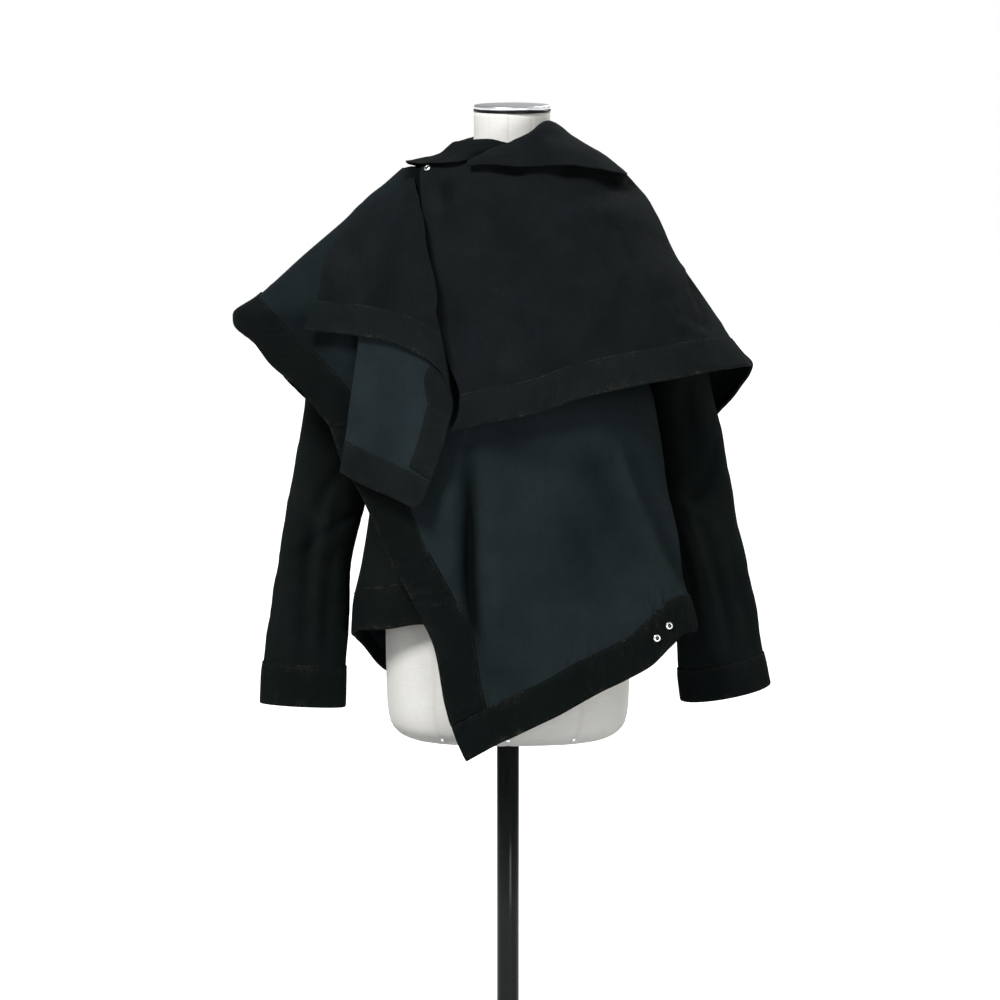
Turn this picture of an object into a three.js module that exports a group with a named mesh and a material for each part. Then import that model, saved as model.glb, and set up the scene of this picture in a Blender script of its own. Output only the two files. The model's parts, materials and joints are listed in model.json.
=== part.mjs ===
import * as THREE from 'three';

// A wrap jacket with a shawl cape, on a headless dress form and its stand.
// Millimetres. +X is the viewer's right, +Y points away from the viewer, +Z is up and the floor is z = 0.

// Walls and gaps
const CLOTH_WALL = 2.0;
const BAND_WALL = 1.6;
const SEAM_GAP = 0.3;
const FACET_ROOM = 0.7;
const BAND_LIFT = CLOTH_WALL / 2 + SEAM_GAP + FACET_ROOM + BAND_WALL / 2;

// Where the front outlines were read from: points nearer than y = 0 look larger and lower
const VIEW_DISTANCE = 5000;
const VIEW_ELEVATION = 3.5;
const VIEW_CENTRE_X = -10;
const VIEW_CENTRE_Z = 925;

// Widths of the sewn bands
const WRAP_HEM_BAND = 45;
const WRAP_EDGE_BAND = 47;
const CAPE_BAND = 41;
const FLAP_BAND = 37;
const TIE_HEM_BAND = 38;
const TIE_EDGE_BAND = 30;
const WAISTBAND = 52;
const BACK_BAND = 45;

// Snap heads
const SNAP_RADIUS = 4.8;
const SNAP_HEIGHT = 2.6;

// Stand
const POLE_RADIUS = 14;
const BASE_RADIUS = 170;
const BASE_HEIGHT = 12;
const FORM_BOTTOM = 622;
const NECK_TILT = 0.105;
const NECK_TOP = 1408.5;
const NECK_RIM_HEIGHT = 3;
const NECK_CAP_HEIGHT = 5;
const NECK_X = 5;

const SIDE_LEFT = Math.PI;
const SIDE_RIGHT = 0;
const FULL_TURN = 2 * Math.PI;

// Colours shown by the CAD views
const LOOKS = {
  denim: new THREE.MeshStandardMaterial({ color: 0x1c2224, roughness: 0.9, side: THREE.DoubleSide }),
  denim_reverse: new THREE.MeshStandardMaterial({ color: 0x2b353b, roughness: 0.9 }),
  denim_band: new THREE.MeshStandardMaterial({ color: 0x14191a, roughness: 0.9 }),
  linen: new THREE.MeshStandardMaterial({ color: 0xe4e1d8, roughness: 0.85 }),
  snap_metal: new THREE.MeshStandardMaterial({ color: 0xc8ccd0, roughness: 0.25, metalness: 1 }),
  cap_metal: new THREE.MeshStandardMaterial({ color: 0xb4b7b9, roughness: 0.35, metalness: 1 }),
  black_paint: new THREE.MeshStandardMaterial({ color: 0x15191a, roughness: 0.2 }),
};

// Horizontal sections. Each row is one height: half-widths to the left and right of x = 0, the line y where
// the section is widest, the depth from that line to the front and to the back, and the power of the oval.
const BODY_SECTIONS = [
  { z: 640, left: 197, right: 176, line: 0, front: 124, back: 138, power: 2.5 },
  { z: 700, left: 196, right: 177, line: 0, front: 124, back: 136, power: 2.5 },
  { z: 757, left: 194.5, right: 178, line: 0, front: 122, back: 133, power: 2.5 },
  { z: 800, left: 191.5, right: 178, line: 0, front: 120, back: 129, power: 2.5 },
  { z: 850, left: 181.5, right: 176, line: 0, front: 114, back: 124, power: 2.5 },
  { z: 904, left: 173, right: 172, line: 0, front: 110, back: 118, power: 2.5 },
  { z: 1000, left: 163, right: 163, line: 0, front: 110, back: 114, power: 2.4 },
  { z: 1080, left: 154, right: 157, line: 0, front: 119, back: 116, power: 2.4 },
  { z: 1150, left: 158, right: 160, line: 0, front: 129, back: 121, power: 2.4 },
  { z: 1210, left: 162, right: 162, line: 0, front: 118, back: 120, power: 2.4 },
  { z: 1260, left: 165, right: 165, line: 0, front: 98, back: 110, power: 2.4 },
  { z: 1288, left: 166, right: 166, line: 0, front: 80, back: 96, power: 2.3 },
  { z: 1304, left: 155, right: 155, line: 0, front: 72, back: 88, power: 2.2 },
  { z: 1318, left: 129, right: 129, line: 0, front: 66, back: 80, power: 2.1 },
  { z: 1332, left: 100, right: 100, line: 0, front: 62, back: 74, power: 2.0 },
  { z: 1345, left: 80, right: 80, line: 0, front: 60, back: 70, power: 2.0 },
];

const WRAP_SECTIONS = [
  { z: 590, left: 240, right: 226, line: -90, front: 57, back: 140, power: 2.2 },
  { z: 700, left: 240, right: 229, line: -88, front: 56, back: 140, power: 2.2 },
  { z: 769, left: 240, right: 231, line: -84, front: 58, back: 138, power: 2.2 },
  { z: 807, left: 250, right: 225, line: -80, front: 60, back: 134, power: 2.2 },
  { z: 852, left: 262, right: 214, line: -74, front: 66, back: 128, power: 2.2 },
  { z: 905, left: 280, right: 204, line: -63, front: 77, back: 112, power: 2.2 },
  { z: 962, left: 302, right: 193, line: -50, front: 91, back: 96, power: 2.2 },
  { z: 1050, left: 333, right: 181, line: -20, front: 121, back: 60, power: 2.2 },
  { z: 1110, left: 341, right: 163, line: 0, front: 141, back: 60, power: 2.2 },
  { z: 1156, left: 341, right: 162, line: 0, front: 140, back: 60, power: 2.2 },
  { z: 1178, left: 312, right: 163, line: 0, front: 137, back: 60, power: 2.2 },
  { z: 1230, left: 254, right: 165, line: 0, front: 126, back: 60, power: 2.2 },
  { z: 1281, left: 195, right: 169, line: 0, front: 108, back: 60, power: 2.2 },
  { z: 1288, left: 189, right: 167, line: 0, front: 104, back: 60, power: 2.2 },
  { z: 1304, left: 172, right: 157, line: 0, front: 96, back: 60, power: 2.1 },
  { z: 1318, left: 154, right: 132, line: 0, front: 89, back: 60, power: 2.1 },
  { z: 1332, left: 138, right: 104, line: 0, front: 82, back: 60, power: 2.1 },
  { z: 1346, left: 120, right: 82, line: 0, front: 76, back: 60, power: 2.1 },
];

const CAPE_SECTIONS = [
  { z: 930, left: 350, right: 318, line: 0, front: 168, back: 150, power: 2.2 },
  { z: 1011, left: 350, right: 318, line: 0, front: 166, back: 150, power: 2.2 },
  { z: 1060, left: 350, right: 312, line: 0, front: 163, back: 149, power: 2.2 },
  { z: 1093, left: 350, right: 304, line: 0, front: 160, back: 148, power: 2.2 },
  { z: 1110, left: 350, right: 290, line: 0, front: 158, back: 148, power: 2.2 },
  { z: 1131, left: 350, right: 274, line: 0, front: 156, back: 147, power: 2.2 },
  { z: 1156, left: 348, right: 258, line: 0, front: 153, back: 146, power: 2.2 },
  { z: 1178, left: 315, right: 243, line: 0, front: 150, back: 144, power: 2.2 },
  { z: 1230, left: 254, right: 208, line: 0, front: 140, back: 136, power: 2.2 },
  { z: 1281, left: 195, right: 184, line: 0, front: 123, back: 122, power: 2.2 },
  { z: 1304, left: 172, right: 170, line: 0, front: 112, back: 112, power: 2.1 },
  { z: 1318, left: 154, right: 158, line: 0, front: 105, back: 103, power: 2.1 },
  { z: 1332, left: 138, right: 145, line: 0, front: 97, back: 93, power: 2.1 },
  { z: 1352, left: 113, right: 118, line: 0, front: 86, back: 80, power: 2.1 },
];

const CAPE_BACK_SECTIONS = [
  { z: 930, left: 240, right: 240, line: 0, front: 150, back: 148, power: 2.6 },
  { z: 1000, left: 246, right: 252, line: 0, front: 150, back: 148, power: 2.6 },
  { z: 1034, left: 254, right: 269, line: 0, front: 150, back: 148, power: 2.6 },
  { z: 1060, left: 271, right: 287, line: 0, front: 150, back: 148, power: 2.5 },
  { z: 1094, left: 294.5, right: 304, line: 0, front: 150, back: 148, power: 2.4 },
  { z: 1110, left: 306, right: 290, line: 0, front: 150, back: 148, power: 2.35 },
  { z: 1131, left: 321, right: 274, line: 0, front: 150, back: 147, power: 2.3 },
  { z: 1156, left: 341, right: 258, line: 0, front: 153, back: 146, power: 2.2 },
  { z: 1178, left: 312, right: 243, line: 0, front: 150, back: 144, power: 2.2 },
  { z: 1230, left: 254, right: 208, line: 0, front: 140, back: 136, power: 2.2 },
  { z: 1281, left: 195, right: 184, line: 0, front: 123, back: 122, power: 2.2 },
  { z: 1304, left: 172, right: 170, line: 0, front: 112, back: 112, power: 2.1 },
  { z: 1318, left: 154, right: 158, line: 0, front: 105, back: 103, power: 2.1 },
  { z: 1332, left: 138, right: 145, line: 0, front: 97, back: 93, power: 2.1 },
  { z: 1352, left: 113, right: 118, line: 0, front: 86, back: 80, power: 2.1 },
];

const FORM_SECTIONS = [
  { z: 622, left: 70, right: 70, line: 0, front: 45, back: 48, power: 2.3 },
  { z: 624, left: 105, right: 105, line: 0, front: 70, back: 75, power: 2.3 },
  { z: 629, left: 126, right: 126, line: 0, front: 85, back: 92, power: 2.3 },
  { z: 637, left: 139, right: 139, line: 0, front: 95, back: 103, power: 2.3 },
  { z: 648, left: 147, right: 147, line: 0, front: 100, back: 110, power: 2.3 },
  { z: 670, left: 151, right: 151, line: 0, front: 104, back: 114, power: 2.3 },
  { z: 760, left: 153, right: 153, line: 0, front: 105, back: 118, power: 2.3 },
  { z: 850, left: 141, right: 141, line: 0, front: 98, back: 108, power: 2.3 },
  { z: 910, left: 122, right: 122, line: 0, front: 90, back: 97, power: 2.3 },
  { z: 960, left: 112, right: 112, line: 0, front: 86, back: 92, power: 2.3 },
  { z: 1010, left: 117, right: 117, line: 0, front: 89, back: 95, power: 2.3 },
  { z: 1080, left: 132, right: 132, line: 0, front: 104, back: 103, power: 2.3 },
  { z: 1150, left: 142, right: 142, line: 0, front: 115, back: 109, power: 2.3 },
  { z: 1210, left: 149, right: 149, line: 0, front: 104, back: 108, power: 2.3 },
  { z: 1260, left: 154, right: 154, line: 0, front: 83, back: 96, power: 2.3 },
  { z: 1286, left: 155, right: 155, line: 0, front: 64, back: 80, power: 2.2 },
  { z: 1301, left: 144, right: 146, line: 0, front: 56, back: 72, power: 2.1 },
  { z: 1314, left: 116, right: 120, line: 0, front: 51, back: 66, power: 2.0 },
  { z: 1327, left: 84, right: 92, line: 0, front: 48, back: 60, power: 2.0 },
  { z: 1342, left: 60, right: 70, line: 0, front: 46, back: 54, power: 2.0 },
  { z: 1358, left: 47, right: 57, line: 0, front: 45, back: 49, power: 2.0 },
  { z: 1382, left: 42.5, right: 52.5, line: 0, front: 44, back: 46, power: 2.0 },
  { z: NECK_TOP, left: 42.5, right: 52.5, line: 0, front: 44, back: 45, power: 2.0 },
];

// Outlines. Each row is one point as the front shows it.
const WRAP_EDGE = [
  { x: -53, z: 597 }, { x: -65, z: 624 }, { x: -78.5, z: 669 }, { x: -90.5, z: 737 }, { x: -108, z: 776 },
  { x: -125, z: 810 }, { x: -148, z: 850 }, { x: -163, z: 887 }, { x: -187, z: 939 }, { x: -206, z: 971 },
  { x: -221, z: 1015 }, { x: -234, z: 1032 }, { x: -260, z: 1065 }, { x: -294, z: 1094 },
  { x: -315, z: 1121 }, { x: -340, z: 1150 },
];
const WRAP_HEM = [
  { x: -53, z: 597 }, { x: -35, z: 607 }, { x: 15, z: 632 }, { x: 65, z: 656 }, { x: 115, z: 684 },
  { x: 152, z: 702 }, { x: 180, z: 718 }, { x: 206, z: 744 }, { x: 224, z: 760 },
];
const WRAP_HEM_SIDE = 772;
const CAPE_EDGE = [
  { x: -72, z: 1011 }, { x: -63, z: 1029 }, { x: -60, z: 1056 }, { x: -72, z: 1090 }, { x: -84, z: 1127 },
  { x: -93, z: 1175 }, { x: -106, z: 1250 }, { x: -108, z: 1304 }, { x: -106, z: 1342 },
];
const CAPE_HEM = [
  { x: -72, z: 1011 }, { x: -17, z: 1023 }, { x: 44, z: 1036 }, { x: 88, z: 1052 }, { x: 152, z: 1067 },
  { x: 216, z: 1079 }, { x: 254, z: 1087 }, { x: 290, z: 1092 }, { x: 306, z: 1095 },
];
const FLAP_LEFT = [
  { x: -232, z: 1136 }, { x: -252, z: 1141 }, { x: -236, z: 1184 }, { x: -219, z: 1240 },
  { x: -186, z: 1277 }, { x: -146, z: 1308 }, { x: -123, z: 1326 },
];
const FLAP_RIGHT = [
  { x: -68, z: 1058 }, { x: -71, z: 1080 }, { x: -77, z: 1115 }, { x: -85, z: 1175 }, { x: -99, z: 1250 },
  { x: -108, z: 1296 }, { x: -114, z: 1315 }, { x: -117, z: 1326 },
];
const FLAP_HEM = [
  { x: -232, z: 1136 }, { x: -187, z: 1131 }, { x: -157, z: 1126 }, { x: -124, z: 1114 }, { x: -99, z: 1100 },
  { x: -79, z: 1080 }, { x: -68, z: 1058 },
];
const TIE_LEFT = [
  { x: -210, z: 960 }, { x: -203, z: 999 }, { x: -195, z: 1057 }, { x: -187, z: 1118 }, { x: -186, z: 1142 },
];
const TIE_RIGHT = [
  { x: -116, z: 915 }, { x: -108, z: 922 }, { x: -95, z: 955 }, { x: -84, z: 984 }, { x: -75, z: 1019 },
  { x: -69, z: 1045 }, { x: -74, z: 1072 },
];
const TIE_HEM = [
  { x: -210, z: 960 }, { x: -181, z: 944 }, { x: -150, z: 931 }, { x: -116, z: 915 },
];
const TIE_TOP = [
  { x: -186, z: 1142 }, { x: -150, z: 1132 }, { x: -110, z: 1110 }, { x: -74, z: 1072 },
];

// Sleeve sections, from the armhole down: inner and outer points, the centre line's y, the half-depth and how
// far the front of the section dips below its middle.
const SLEEVE_LEFT = [
  { innerX: -160, innerZ: 1128, outerX: -167, outerZ: 1288, y: 0, depth: 48, dip: 0 },
  { innerX: -166, innerZ: 1106, outerX: -195, outerZ: 1250, y: 4, depth: 52, dip: 0 },
  { innerX: -169, innerZ: 1076, outerX: -222, outerZ: 1186, y: 8, depth: 51, dip: 0 },
  { innerX: -172, innerZ: 1040, outerX: -243, outerZ: 1112, y: 11, depth: 48, dip: 0 },
  { innerX: -173, innerZ: 996, outerX: -257, outerZ: 1022, y: 12, depth: 44, dip: 0 },
  { innerX: -177, innerZ: 936, outerX: -271.5, outerZ: 945, y: 12, depth: 40, dip: 0 },
  { innerX: -185.5, innerZ: 893, outerX: -280, outerZ: 890, y: 11, depth: 37, dip: 0 },
  { innerX: -198, innerZ: 845, outerX: -288.5, outerZ: 840, y: 10, depth: 33, dip: 0 },
  { innerX: -200, innerZ: 790, outerX: -298, outerZ: 785, y: 8, depth: 30, dip: 0 },
  { innerX: -204, innerZ: 720, outerX: -305, outerZ: 726, y: 4, depth: 28, dip: 0 },
  { innerX: -206.5, innerZ: 665, outerX: -309, outerZ: 670, y: 2, depth: 27, dip: 0 },
];
const SLEEVE_RIGHT = [
  { innerX: 162, innerZ: 1128, outerX: 168, outerZ: 1288, y: 0, depth: 48, dip: 0 },
  { innerX: 174, innerZ: 1108, outerX: 189, outerZ: 1246, y: 6, depth: 51, dip: 0 },
  { innerX: 180, innerZ: 1080, outerX: 217, outerZ: 1182, y: 13, depth: 49, dip: 0 },
  { innerX: 184, innerZ: 1046, outerX: 243, outerZ: 1112, y: 19, depth: 47, dip: 0 },
  { innerX: 189, innerZ: 1006, outerX: 263, outerZ: 1023, y: 22, depth: 44, dip: 0 },
  { innerX: 193, innerZ: 945, outerX: 278, outerZ: 950, y: 22, depth: 40, dip: 0 },
  { innerX: 197, innerZ: 900, outerX: 288, outerZ: 895, y: 21, depth: 37, dip: 0 },
  { innerX: 202, innerZ: 850, outerX: 300, outerZ: 842, y: 19, depth: 34, dip: 0 },
  { innerX: 210, innerZ: 790, outerX: 310.5, outerZ: 792, y: 17, depth: 31, dip: 1 },
  { innerX: 214.5, innerZ: 716, outerX: 319.5, outerZ: 736, y: 13, depth: 29, dip: 4 },
  { innerX: 219, innerZ: 673, outerX: 328, outerZ: 693, y: 11, depth: 28, dip: 6 },
];
const ARMHOLE = { z: 1208, halfHeight: 80, halfDepth: 48 };

// Collar sections: the crest's place, the way it faces in plan (degrees from +X), the roundness of the roll,
// how far out and down its fall reaches, how far down the inside is tucked, and the share of its drop that
// the fall has gone down at two thirds of its way out.
const COLLAR_RIGHT = [
  { x: -47, y: -95.5, z: 1344.5, facing: -100, round: 4, spread: 7, drop: 9, tuck: 5, sag: 0.56 },
  { x: -34, y: -97, z: 1351.5, facing: -98, round: 4.5, spread: 9, drop: 14, tuck: 9, sag: 0.56 },
  { x: -14, y: -98, z: 1361.5, facing: -94, round: 5.5, spread: 11, drop: 23, tuck: 16, sag: 0.56 },
  { x: 8, y: -96, z: 1369.5, facing: -88, round: 6, spread: 12, drop: 31, tuck: 20, sag: 0.56 },
  { x: 30, y: -83, z: 1382, facing: -72, round: 6.5, spread: 22, drop: 43, tuck: 26, sag: 0.56 },
  { x: 49, y: -55, z: 1395, facing: -48, round: 6.5, spread: 52, drop: 55, tuck: 30, sag: 0.58 },
  { x: 63, y: -16, z: 1389, facing: -14, round: 6, spread: 86, drop: 56, tuck: 20, sag: 0.56 },
  { x: 63, y: 22, z: 1386, facing: 22, round: 6, spread: 78, drop: 48, tuck: 20, sag: 0.56 },
  { x: 44, y: 52, z: 1384, facing: 58, round: 6, spread: 44, drop: 45, tuck: 26, sag: 0.56 },
  { x: 5.6, y: 64, z: 1384, facing: 90, round: 6, spread: 36, drop: 43, tuck: 26, sag: 0.56 },
];
const COLLAR_LEFT = [
  { x: 4.4, y: 64, z: 1384, facing: 90, round: 6, spread: 36, drop: 43, tuck: 26, sag: 0.56 },
  { x: -32, y: 52, z: 1380, facing: 122, round: 6, spread: 46, drop: 41, tuck: 26, sag: 0.6 },
  { x: -58, y: 24, z: 1373, facing: 156, round: 6, spread: 60, drop: 31, tuck: 24, sag: 0.72 },
  { x: -67, y: -8, z: 1368, facing: 188, round: 6, spread: 60, drop: 21, tuck: 20, sag: 0.82 },
  { x: -65, y: -38, z: 1368.5, facing: 214, round: 6, spread: 48, drop: 25, tuck: 20, sag: 0.76 },
  { x: -50, y: -60, z: 1370, facing: 240, round: 6, spread: 34, drop: 26, tuck: 20, sag: 0.64 },
  { x: -37, y: -67, z: 1371, facing: 251, round: 5.5, spread: 17, drop: 23, tuck: 20, sag: 0.56 },
  { x: -22, y: -69, z: 1372, facing: 262, round: 5, spread: 7, drop: 31, tuck: 20, sag: 0.56 },
  { x: 6, y: -70, z: 1366, facing: 270, round: 5, spread: 5, drop: 25, tuck: 18, sag: 0.56 },
];

// Creases: ends of each on the front, half-width across and height, where a trough is negative.
const WRAP_CREASES = [
  { fromX: 131, fromZ: 999, toX: 217, toZ: 810, width: 13, height: 3.5 },
  { fromX: -52, fromZ: 980, toX: -60, toZ: 800, width: 22, height: -5 },
  { fromX: 20, fromZ: 940, toX: 60, toZ: 760, width: 30, height: -4 },
  { fromX: -100, fromZ: 880, toX: -40, toZ: 720, width: 24, height: 3 },
  { fromX: -290, fromZ: 1156, toX: -215, toZ: 1120, width: 26, height: -3 },
];
const CAPE_CREASES = [
  { fromX: -72, fromZ: 1330, toX: -78, toZ: 1250, width: 10, height: -4 },
  { fromX: 40, fromZ: 1322, toX: 135, toZ: 1312, width: 12, height: -6 },
  { fromX: 60, fromZ: 1240, toX: 190, toZ: 1190, width: 34, height: 5 },
  { fromX: 216, fromZ: 1200, toX: 245, toZ: 1120, width: 18, height: -7 },
  { fromX: -20, fromZ: 1220, toX: 10, toZ: 1080, width: 40, height: 4 },
];
const NO_CREASES = [];

const lerp = (from, to, share) => from + (to - from) * share;
const signedPower = (value, exponent) => Math.sign(value) * Math.abs(value) ** exponent;
const smoothStep = (share) => {
  const t = Math.min(1, Math.max(0, share));
  return t * t * (3 - 2 * t);
};

// Returns a function that reads every column of a table at a key, smoothly and without overshoot.
function tableReader(rows, key) {
  const columns = Object.keys(rows[0]).filter((name) => name !== key);
  const keys = rows.map((row) => row[key]);
  const slopes = {};
  for (const name of columns) {
    const secants = [];
    for (let i = 0; i < rows.length - 1; i += 1) {
      secants.push((rows[i + 1][name] - rows[i][name]) / (keys[i + 1] - keys[i]));
    }
    slopes[name] = rows.map((_, i) => {
      if (i === 0) return secants[0];
      if (i === rows.length - 1) return secants[i - 1];
      const before = secants[i - 1];
      const after = secants[i];
      if (before * after <= 0) return 0;
      const wide = keys[i + 1] - keys[i];
      const narrow = keys[i] - keys[i - 1];
      return (3 * (wide + narrow)) / ((2 * wide + narrow) / before + (wide + 2 * narrow) / after);
    });
  }
  return (value) => {
    const inside = Math.min(keys[keys.length - 1], Math.max(keys[0], value));
    let i = 0;
    while (i < keys.length - 2 && inside > keys[i + 1]) i += 1;
    const step = keys[i + 1] - keys[i];
    const t = (inside - keys[i]) / step;
    const result = {};
    for (const name of columns) {
      const a = rows[i][name];
      const b = rows[i + 1][name];
      const startSlope = slopes[name][i] * step;
      const endSlope = slopes[name][i + 1] * step;
      const t2 = t * t;
      const t3 = t2 * t;
      result[name] = (2 * t3 - 3 * t2 + 1) * a + (t3 - 2 * t2 + t) * startSlope
        + (3 * t2 - 2 * t3) * b + (t3 - t2) * endSlope;
    }
    return result;
  };
}

// A surface made of oval sections. Angles run from 0 at the right side over the front to PI at the left side,
// and on behind to a full turn.
function ovalSurface(rows) {
  const at = tableReader(rows, 'z');
  const point = (angle, z) => {
    const row = at(z);
    const across = signedPower(Math.cos(angle), 2 / row.power);
    const forward = signedPower(Math.sin(angle), 2 / row.power);
    const half = across < 0 ? row.left : row.right;
    const depth = forward > 0 ? row.front : row.back;
    return new THREE.Vector3(half * across, row.line - depth * forward, z);
  };
  const angleAtX = (x, z) => {
    const row = at(z);
    const share = Math.min(1, Math.max(-1, x / (x < 0 ? row.left : row.right)));
    return Math.acos(signedPower(share, row.power / 2));
  };
  // The angle past a side at which the section reaches the given y.
  const turnAtY = (y, z) => {
    const row = at(z);
    const reach = y - row.line;
    const share = Math.min(1, Math.abs(reach) / (reach < 0 ? row.front : row.back));
    return Math.sign(-reach) * Math.asin(share ** (row.power / 2));
  };
  return { at, point, angleAtX, turnAtY };
}

// An edge through rows of angle and z, run through evenly by its length on the surface.
function edgeCurve(surface, rows) {
  let length = 0;
  const measured = rows.map((row, i) => {
    if (i > 0) {
      const before = surface.point(rows[i - 1].angle, rows[i - 1].z);
      length += Math.max(1e-3, before.distanceTo(surface.point(row.angle, row.z)));
    }
    return { at: length, angle: row.angle, z: row.z };
  });
  const read = tableReader(measured, 'at');
  return (share) => read(share * length);
}

// Turns a point of an outline, as seen, into a point of the surface.
function fromView(surface, seen, ahead = 0) {
  const slope = Math.tan(THREE.MathUtils.degToRad(VIEW_ELEVATION));
  let { x, z } = seen;
  for (let round = 0; round < 4; round += 1) {
    const y = surface.point(surface.angleAtX(x, z), z).y - ahead;
    const scale = 1 + y / VIEW_DISTANCE;
    x = VIEW_CENTRE_X + (seen.x - VIEW_CENTRE_X) * scale;
    z = VIEW_CENTRE_Z + (seen.z - VIEW_CENTRE_Z) * scale - y * slope;
  }
  return { angle: surface.angleAtX(x, z), z };
}

const onFront = (surface, rows, ahead = 0) => rows.map((row) => fromView(surface, row, ahead));

// A panel filled in between four edges of a surface. It returns a point for u across and v up.
function panelBetween(surface, edges) {
  const { left, right, hem, top } = edges;
  const corners = { hemLeft: hem(0), hemRight: hem(1), topLeft: top(0), topRight: top(1) };
  const blend = (name, u, v) => {
    const sides = lerp(left(v)[name], right(v)[name], u);
    const ends = lerp(hem(u)[name], top(u)[name], v);
    const plain = lerp(
      lerp(corners.hemLeft[name], corners.hemRight[name], u),
      lerp(corners.topLeft[name], corners.topRight[name], u),
      v,
    );
    return sides + ends - plain;
  };
  return (u, v) => surface.point(blend('angle', u, v), blend('z', u, v));
}

function normalAt(place, u, v, wrapsU = false) {
  const step = 1e-3;
  const uLow = wrapsU ? u - step : Math.max(0, u - step);
  const uHigh = wrapsU ? u + step : Math.min(1, u + step);
  const alongU = place(uHigh, v).sub(place(uLow, v));
  const alongV = place(u, Math.min(1, v + step)).sub(place(u, Math.max(0, v - step)));
  return alongU.cross(alongV).normalize();
}

function creaseHeight(creases, x, z) {
  let height = 0;
  for (const crease of creases) {
    const runX = crease.toX - crease.fromX;
    const runZ = crease.toZ - crease.fromZ;
    const length = Math.hypot(runX, runZ);
    const along = ((x - crease.fromX) * runX + (z - crease.fromZ) * runZ) / length ** 2;
    const across = ((x - crease.fromX) * runZ - (z - crease.fromZ) * runX) / length;
    const fade = smoothStep(along / 0.3 + 0.5) * smoothStep((1 - along) / 0.3 + 0.5);
    height += crease.height * fade * Math.exp(-((across / crease.width) ** 2));
  }
  return height;
}

// Builds a mesh from named vertex rings or grids and keeps its faces turned outward.
function meshFrom(name, look, vertices, faces) {
  const geometry = new THREE.BufferGeometry();
  const positions = vertices.flatMap((vertex) => [vertex.x, vertex.y, vertex.z]);
  let volume = 0;
  for (const [a, b, c] of faces) {
    volume += vertices[a].dot(new THREE.Vector3().crossVectors(vertices[b], vertices[c]));
  }
  const index = faces.flatMap(([a, b, c]) => (volume > 0 ? [a, b, c] : [a, c, b]));
  geometry.setAttribute('position', new THREE.Float32BufferAttribute(positions, 3));
  geometry.setIndex(index);
  geometry.computeVertexNormals();
  const mesh = new THREE.Mesh(geometry, look);
  mesh.name = name;
  return mesh;
}

// Thickens a surface into a closed cloth solid. wrapsU closes it into a tube with open ends.
function clothSolid(name, look, place, options) {
  const { across, up, wall = CLOTH_WALL, lift = 0, wrapsU = false, creases = NO_CREASES } = options;
  const map = options.map ?? ((i, j) => [i / across, j / up]);
  const [midU, midV] = map(Math.floor(across / 2), Math.floor(up / 2));
  const columns = wrapsU ? across : across + 1;
  const middle = place(midU, midV);
  const outward = wrapsU
    ? place(0, 0.5).sub(place(0.5, 0.5))
    : new THREE.Vector3(middle.x, middle.y, 0);
  const facing = Math.sign(normalAt(place, wrapsU ? 0 : midU, midV, wrapsU).dot(outward));
  const outer = [];
  const inner = [];
  for (let j = 0; j <= up; j += 1) {
    for (let i = 0; i < columns; i += 1) {
      const [u, v] = map(i, j);
      const normal = normalAt(place, u, v, wrapsU).multiplyScalar(facing);
      const point = place(u, v);
      const height = lift + creaseHeight(creases, point.x, point.z);
      outer.push(point.clone().addScaledVector(normal, height + wall / 2));
      inner.push(point.clone().addScaledVector(normal, height - wall / 2));
    }
  }
  const count = outer.length;
  const faces = [];
  const quad = (a, b, c, d) => faces.push([a, b, c], [a, c, d]);
  const at = (i, j) => j * columns + (wrapsU ? i % columns : i);
  for (let j = 0; j < up; j += 1) {
    for (let i = 0; i < across; i += 1) {
      quad(at(i, j), at(i + 1, j), at(i + 1, j + 1), at(i, j + 1));
      quad(count + at(i, j), count + at(i, j + 1), count + at(i + 1, j + 1), count + at(i + 1, j));
    }
  }
  for (let i = 0; i < across; i += 1) {
    quad(at(i, 0), count + at(i, 0), count + at(i + 1, 0), at(i + 1, 0));
    quad(at(i + 1, up), count + at(i + 1, up), count + at(i, up), at(i, up));
  }
  if (!wrapsU) {
    for (let j = 0; j < up; j += 1) {
      quad(at(0, j + 1), count + at(0, j + 1), count + at(0, j), at(0, j));
      quad(at(across, j), count + at(across, j), count + at(across, j + 1), at(across, j + 1));
    }
  }
  return meshFrom(name, look, outer.concat(inner), faces);
}

// A solid filled between rings of points, closed by a fan at each end.
function ringSolid(name, look, rings) {
  const around = rings[0].length;
  const vertices = rings.flat();
  const faces = [];
  for (let j = 0; j < rings.length - 1; j += 1) {
    for (let i = 0; i < around; i += 1) {
      const next = (i + 1) % around;
      const low = j * around;
      const high = low + around;
      faces.push([low + i, low + next, high + next], [low + i, high + next, high + i]);
    }
  }
  const closeEnd = (start, turned) => {
    const centre = new THREE.Vector3();
    for (let i = 0; i < around; i += 1) centre.addScaledVector(vertices[start + i], 1 / around);
    vertices.push(centre);
    const middle = vertices.length - 1;
    for (let i = 0; i < around; i += 1) {
      const next = (i + 1) % around;
      faces.push(turned ? [middle, start + next, start + i] : [middle, start + i, start + next]);
    }
  };
  closeEnd(0, true);
  closeEnd((rings.length - 1) * around, false);
  return meshFrom(name, look, vertices, faces);
}

// A round solid about an axis, from rows of radius and height along it.
function turnedSolid(name, look, rows, options) {
  const { origin, axis = new THREE.Vector3(0, 0, 1), around = 32, scaleX = 1 } = options;
  const upright = new THREE.Vector3(0, 0, 1);
  const turn = new THREE.Quaternion().setFromUnitVectors(upright, axis.clone().normalize());
  const rings = rows.map(({ radius, height }) => Array.from({ length: around }, (_, i) => {
    const angle = (i / around) * FULL_TURN;
    return new THREE.Vector3(radius * scaleX * Math.cos(angle), radius * Math.sin(angle), height)
      .applyQuaternion(turn).add(origin);
  }));
  return ringSolid(name, look, rings);
}

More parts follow.
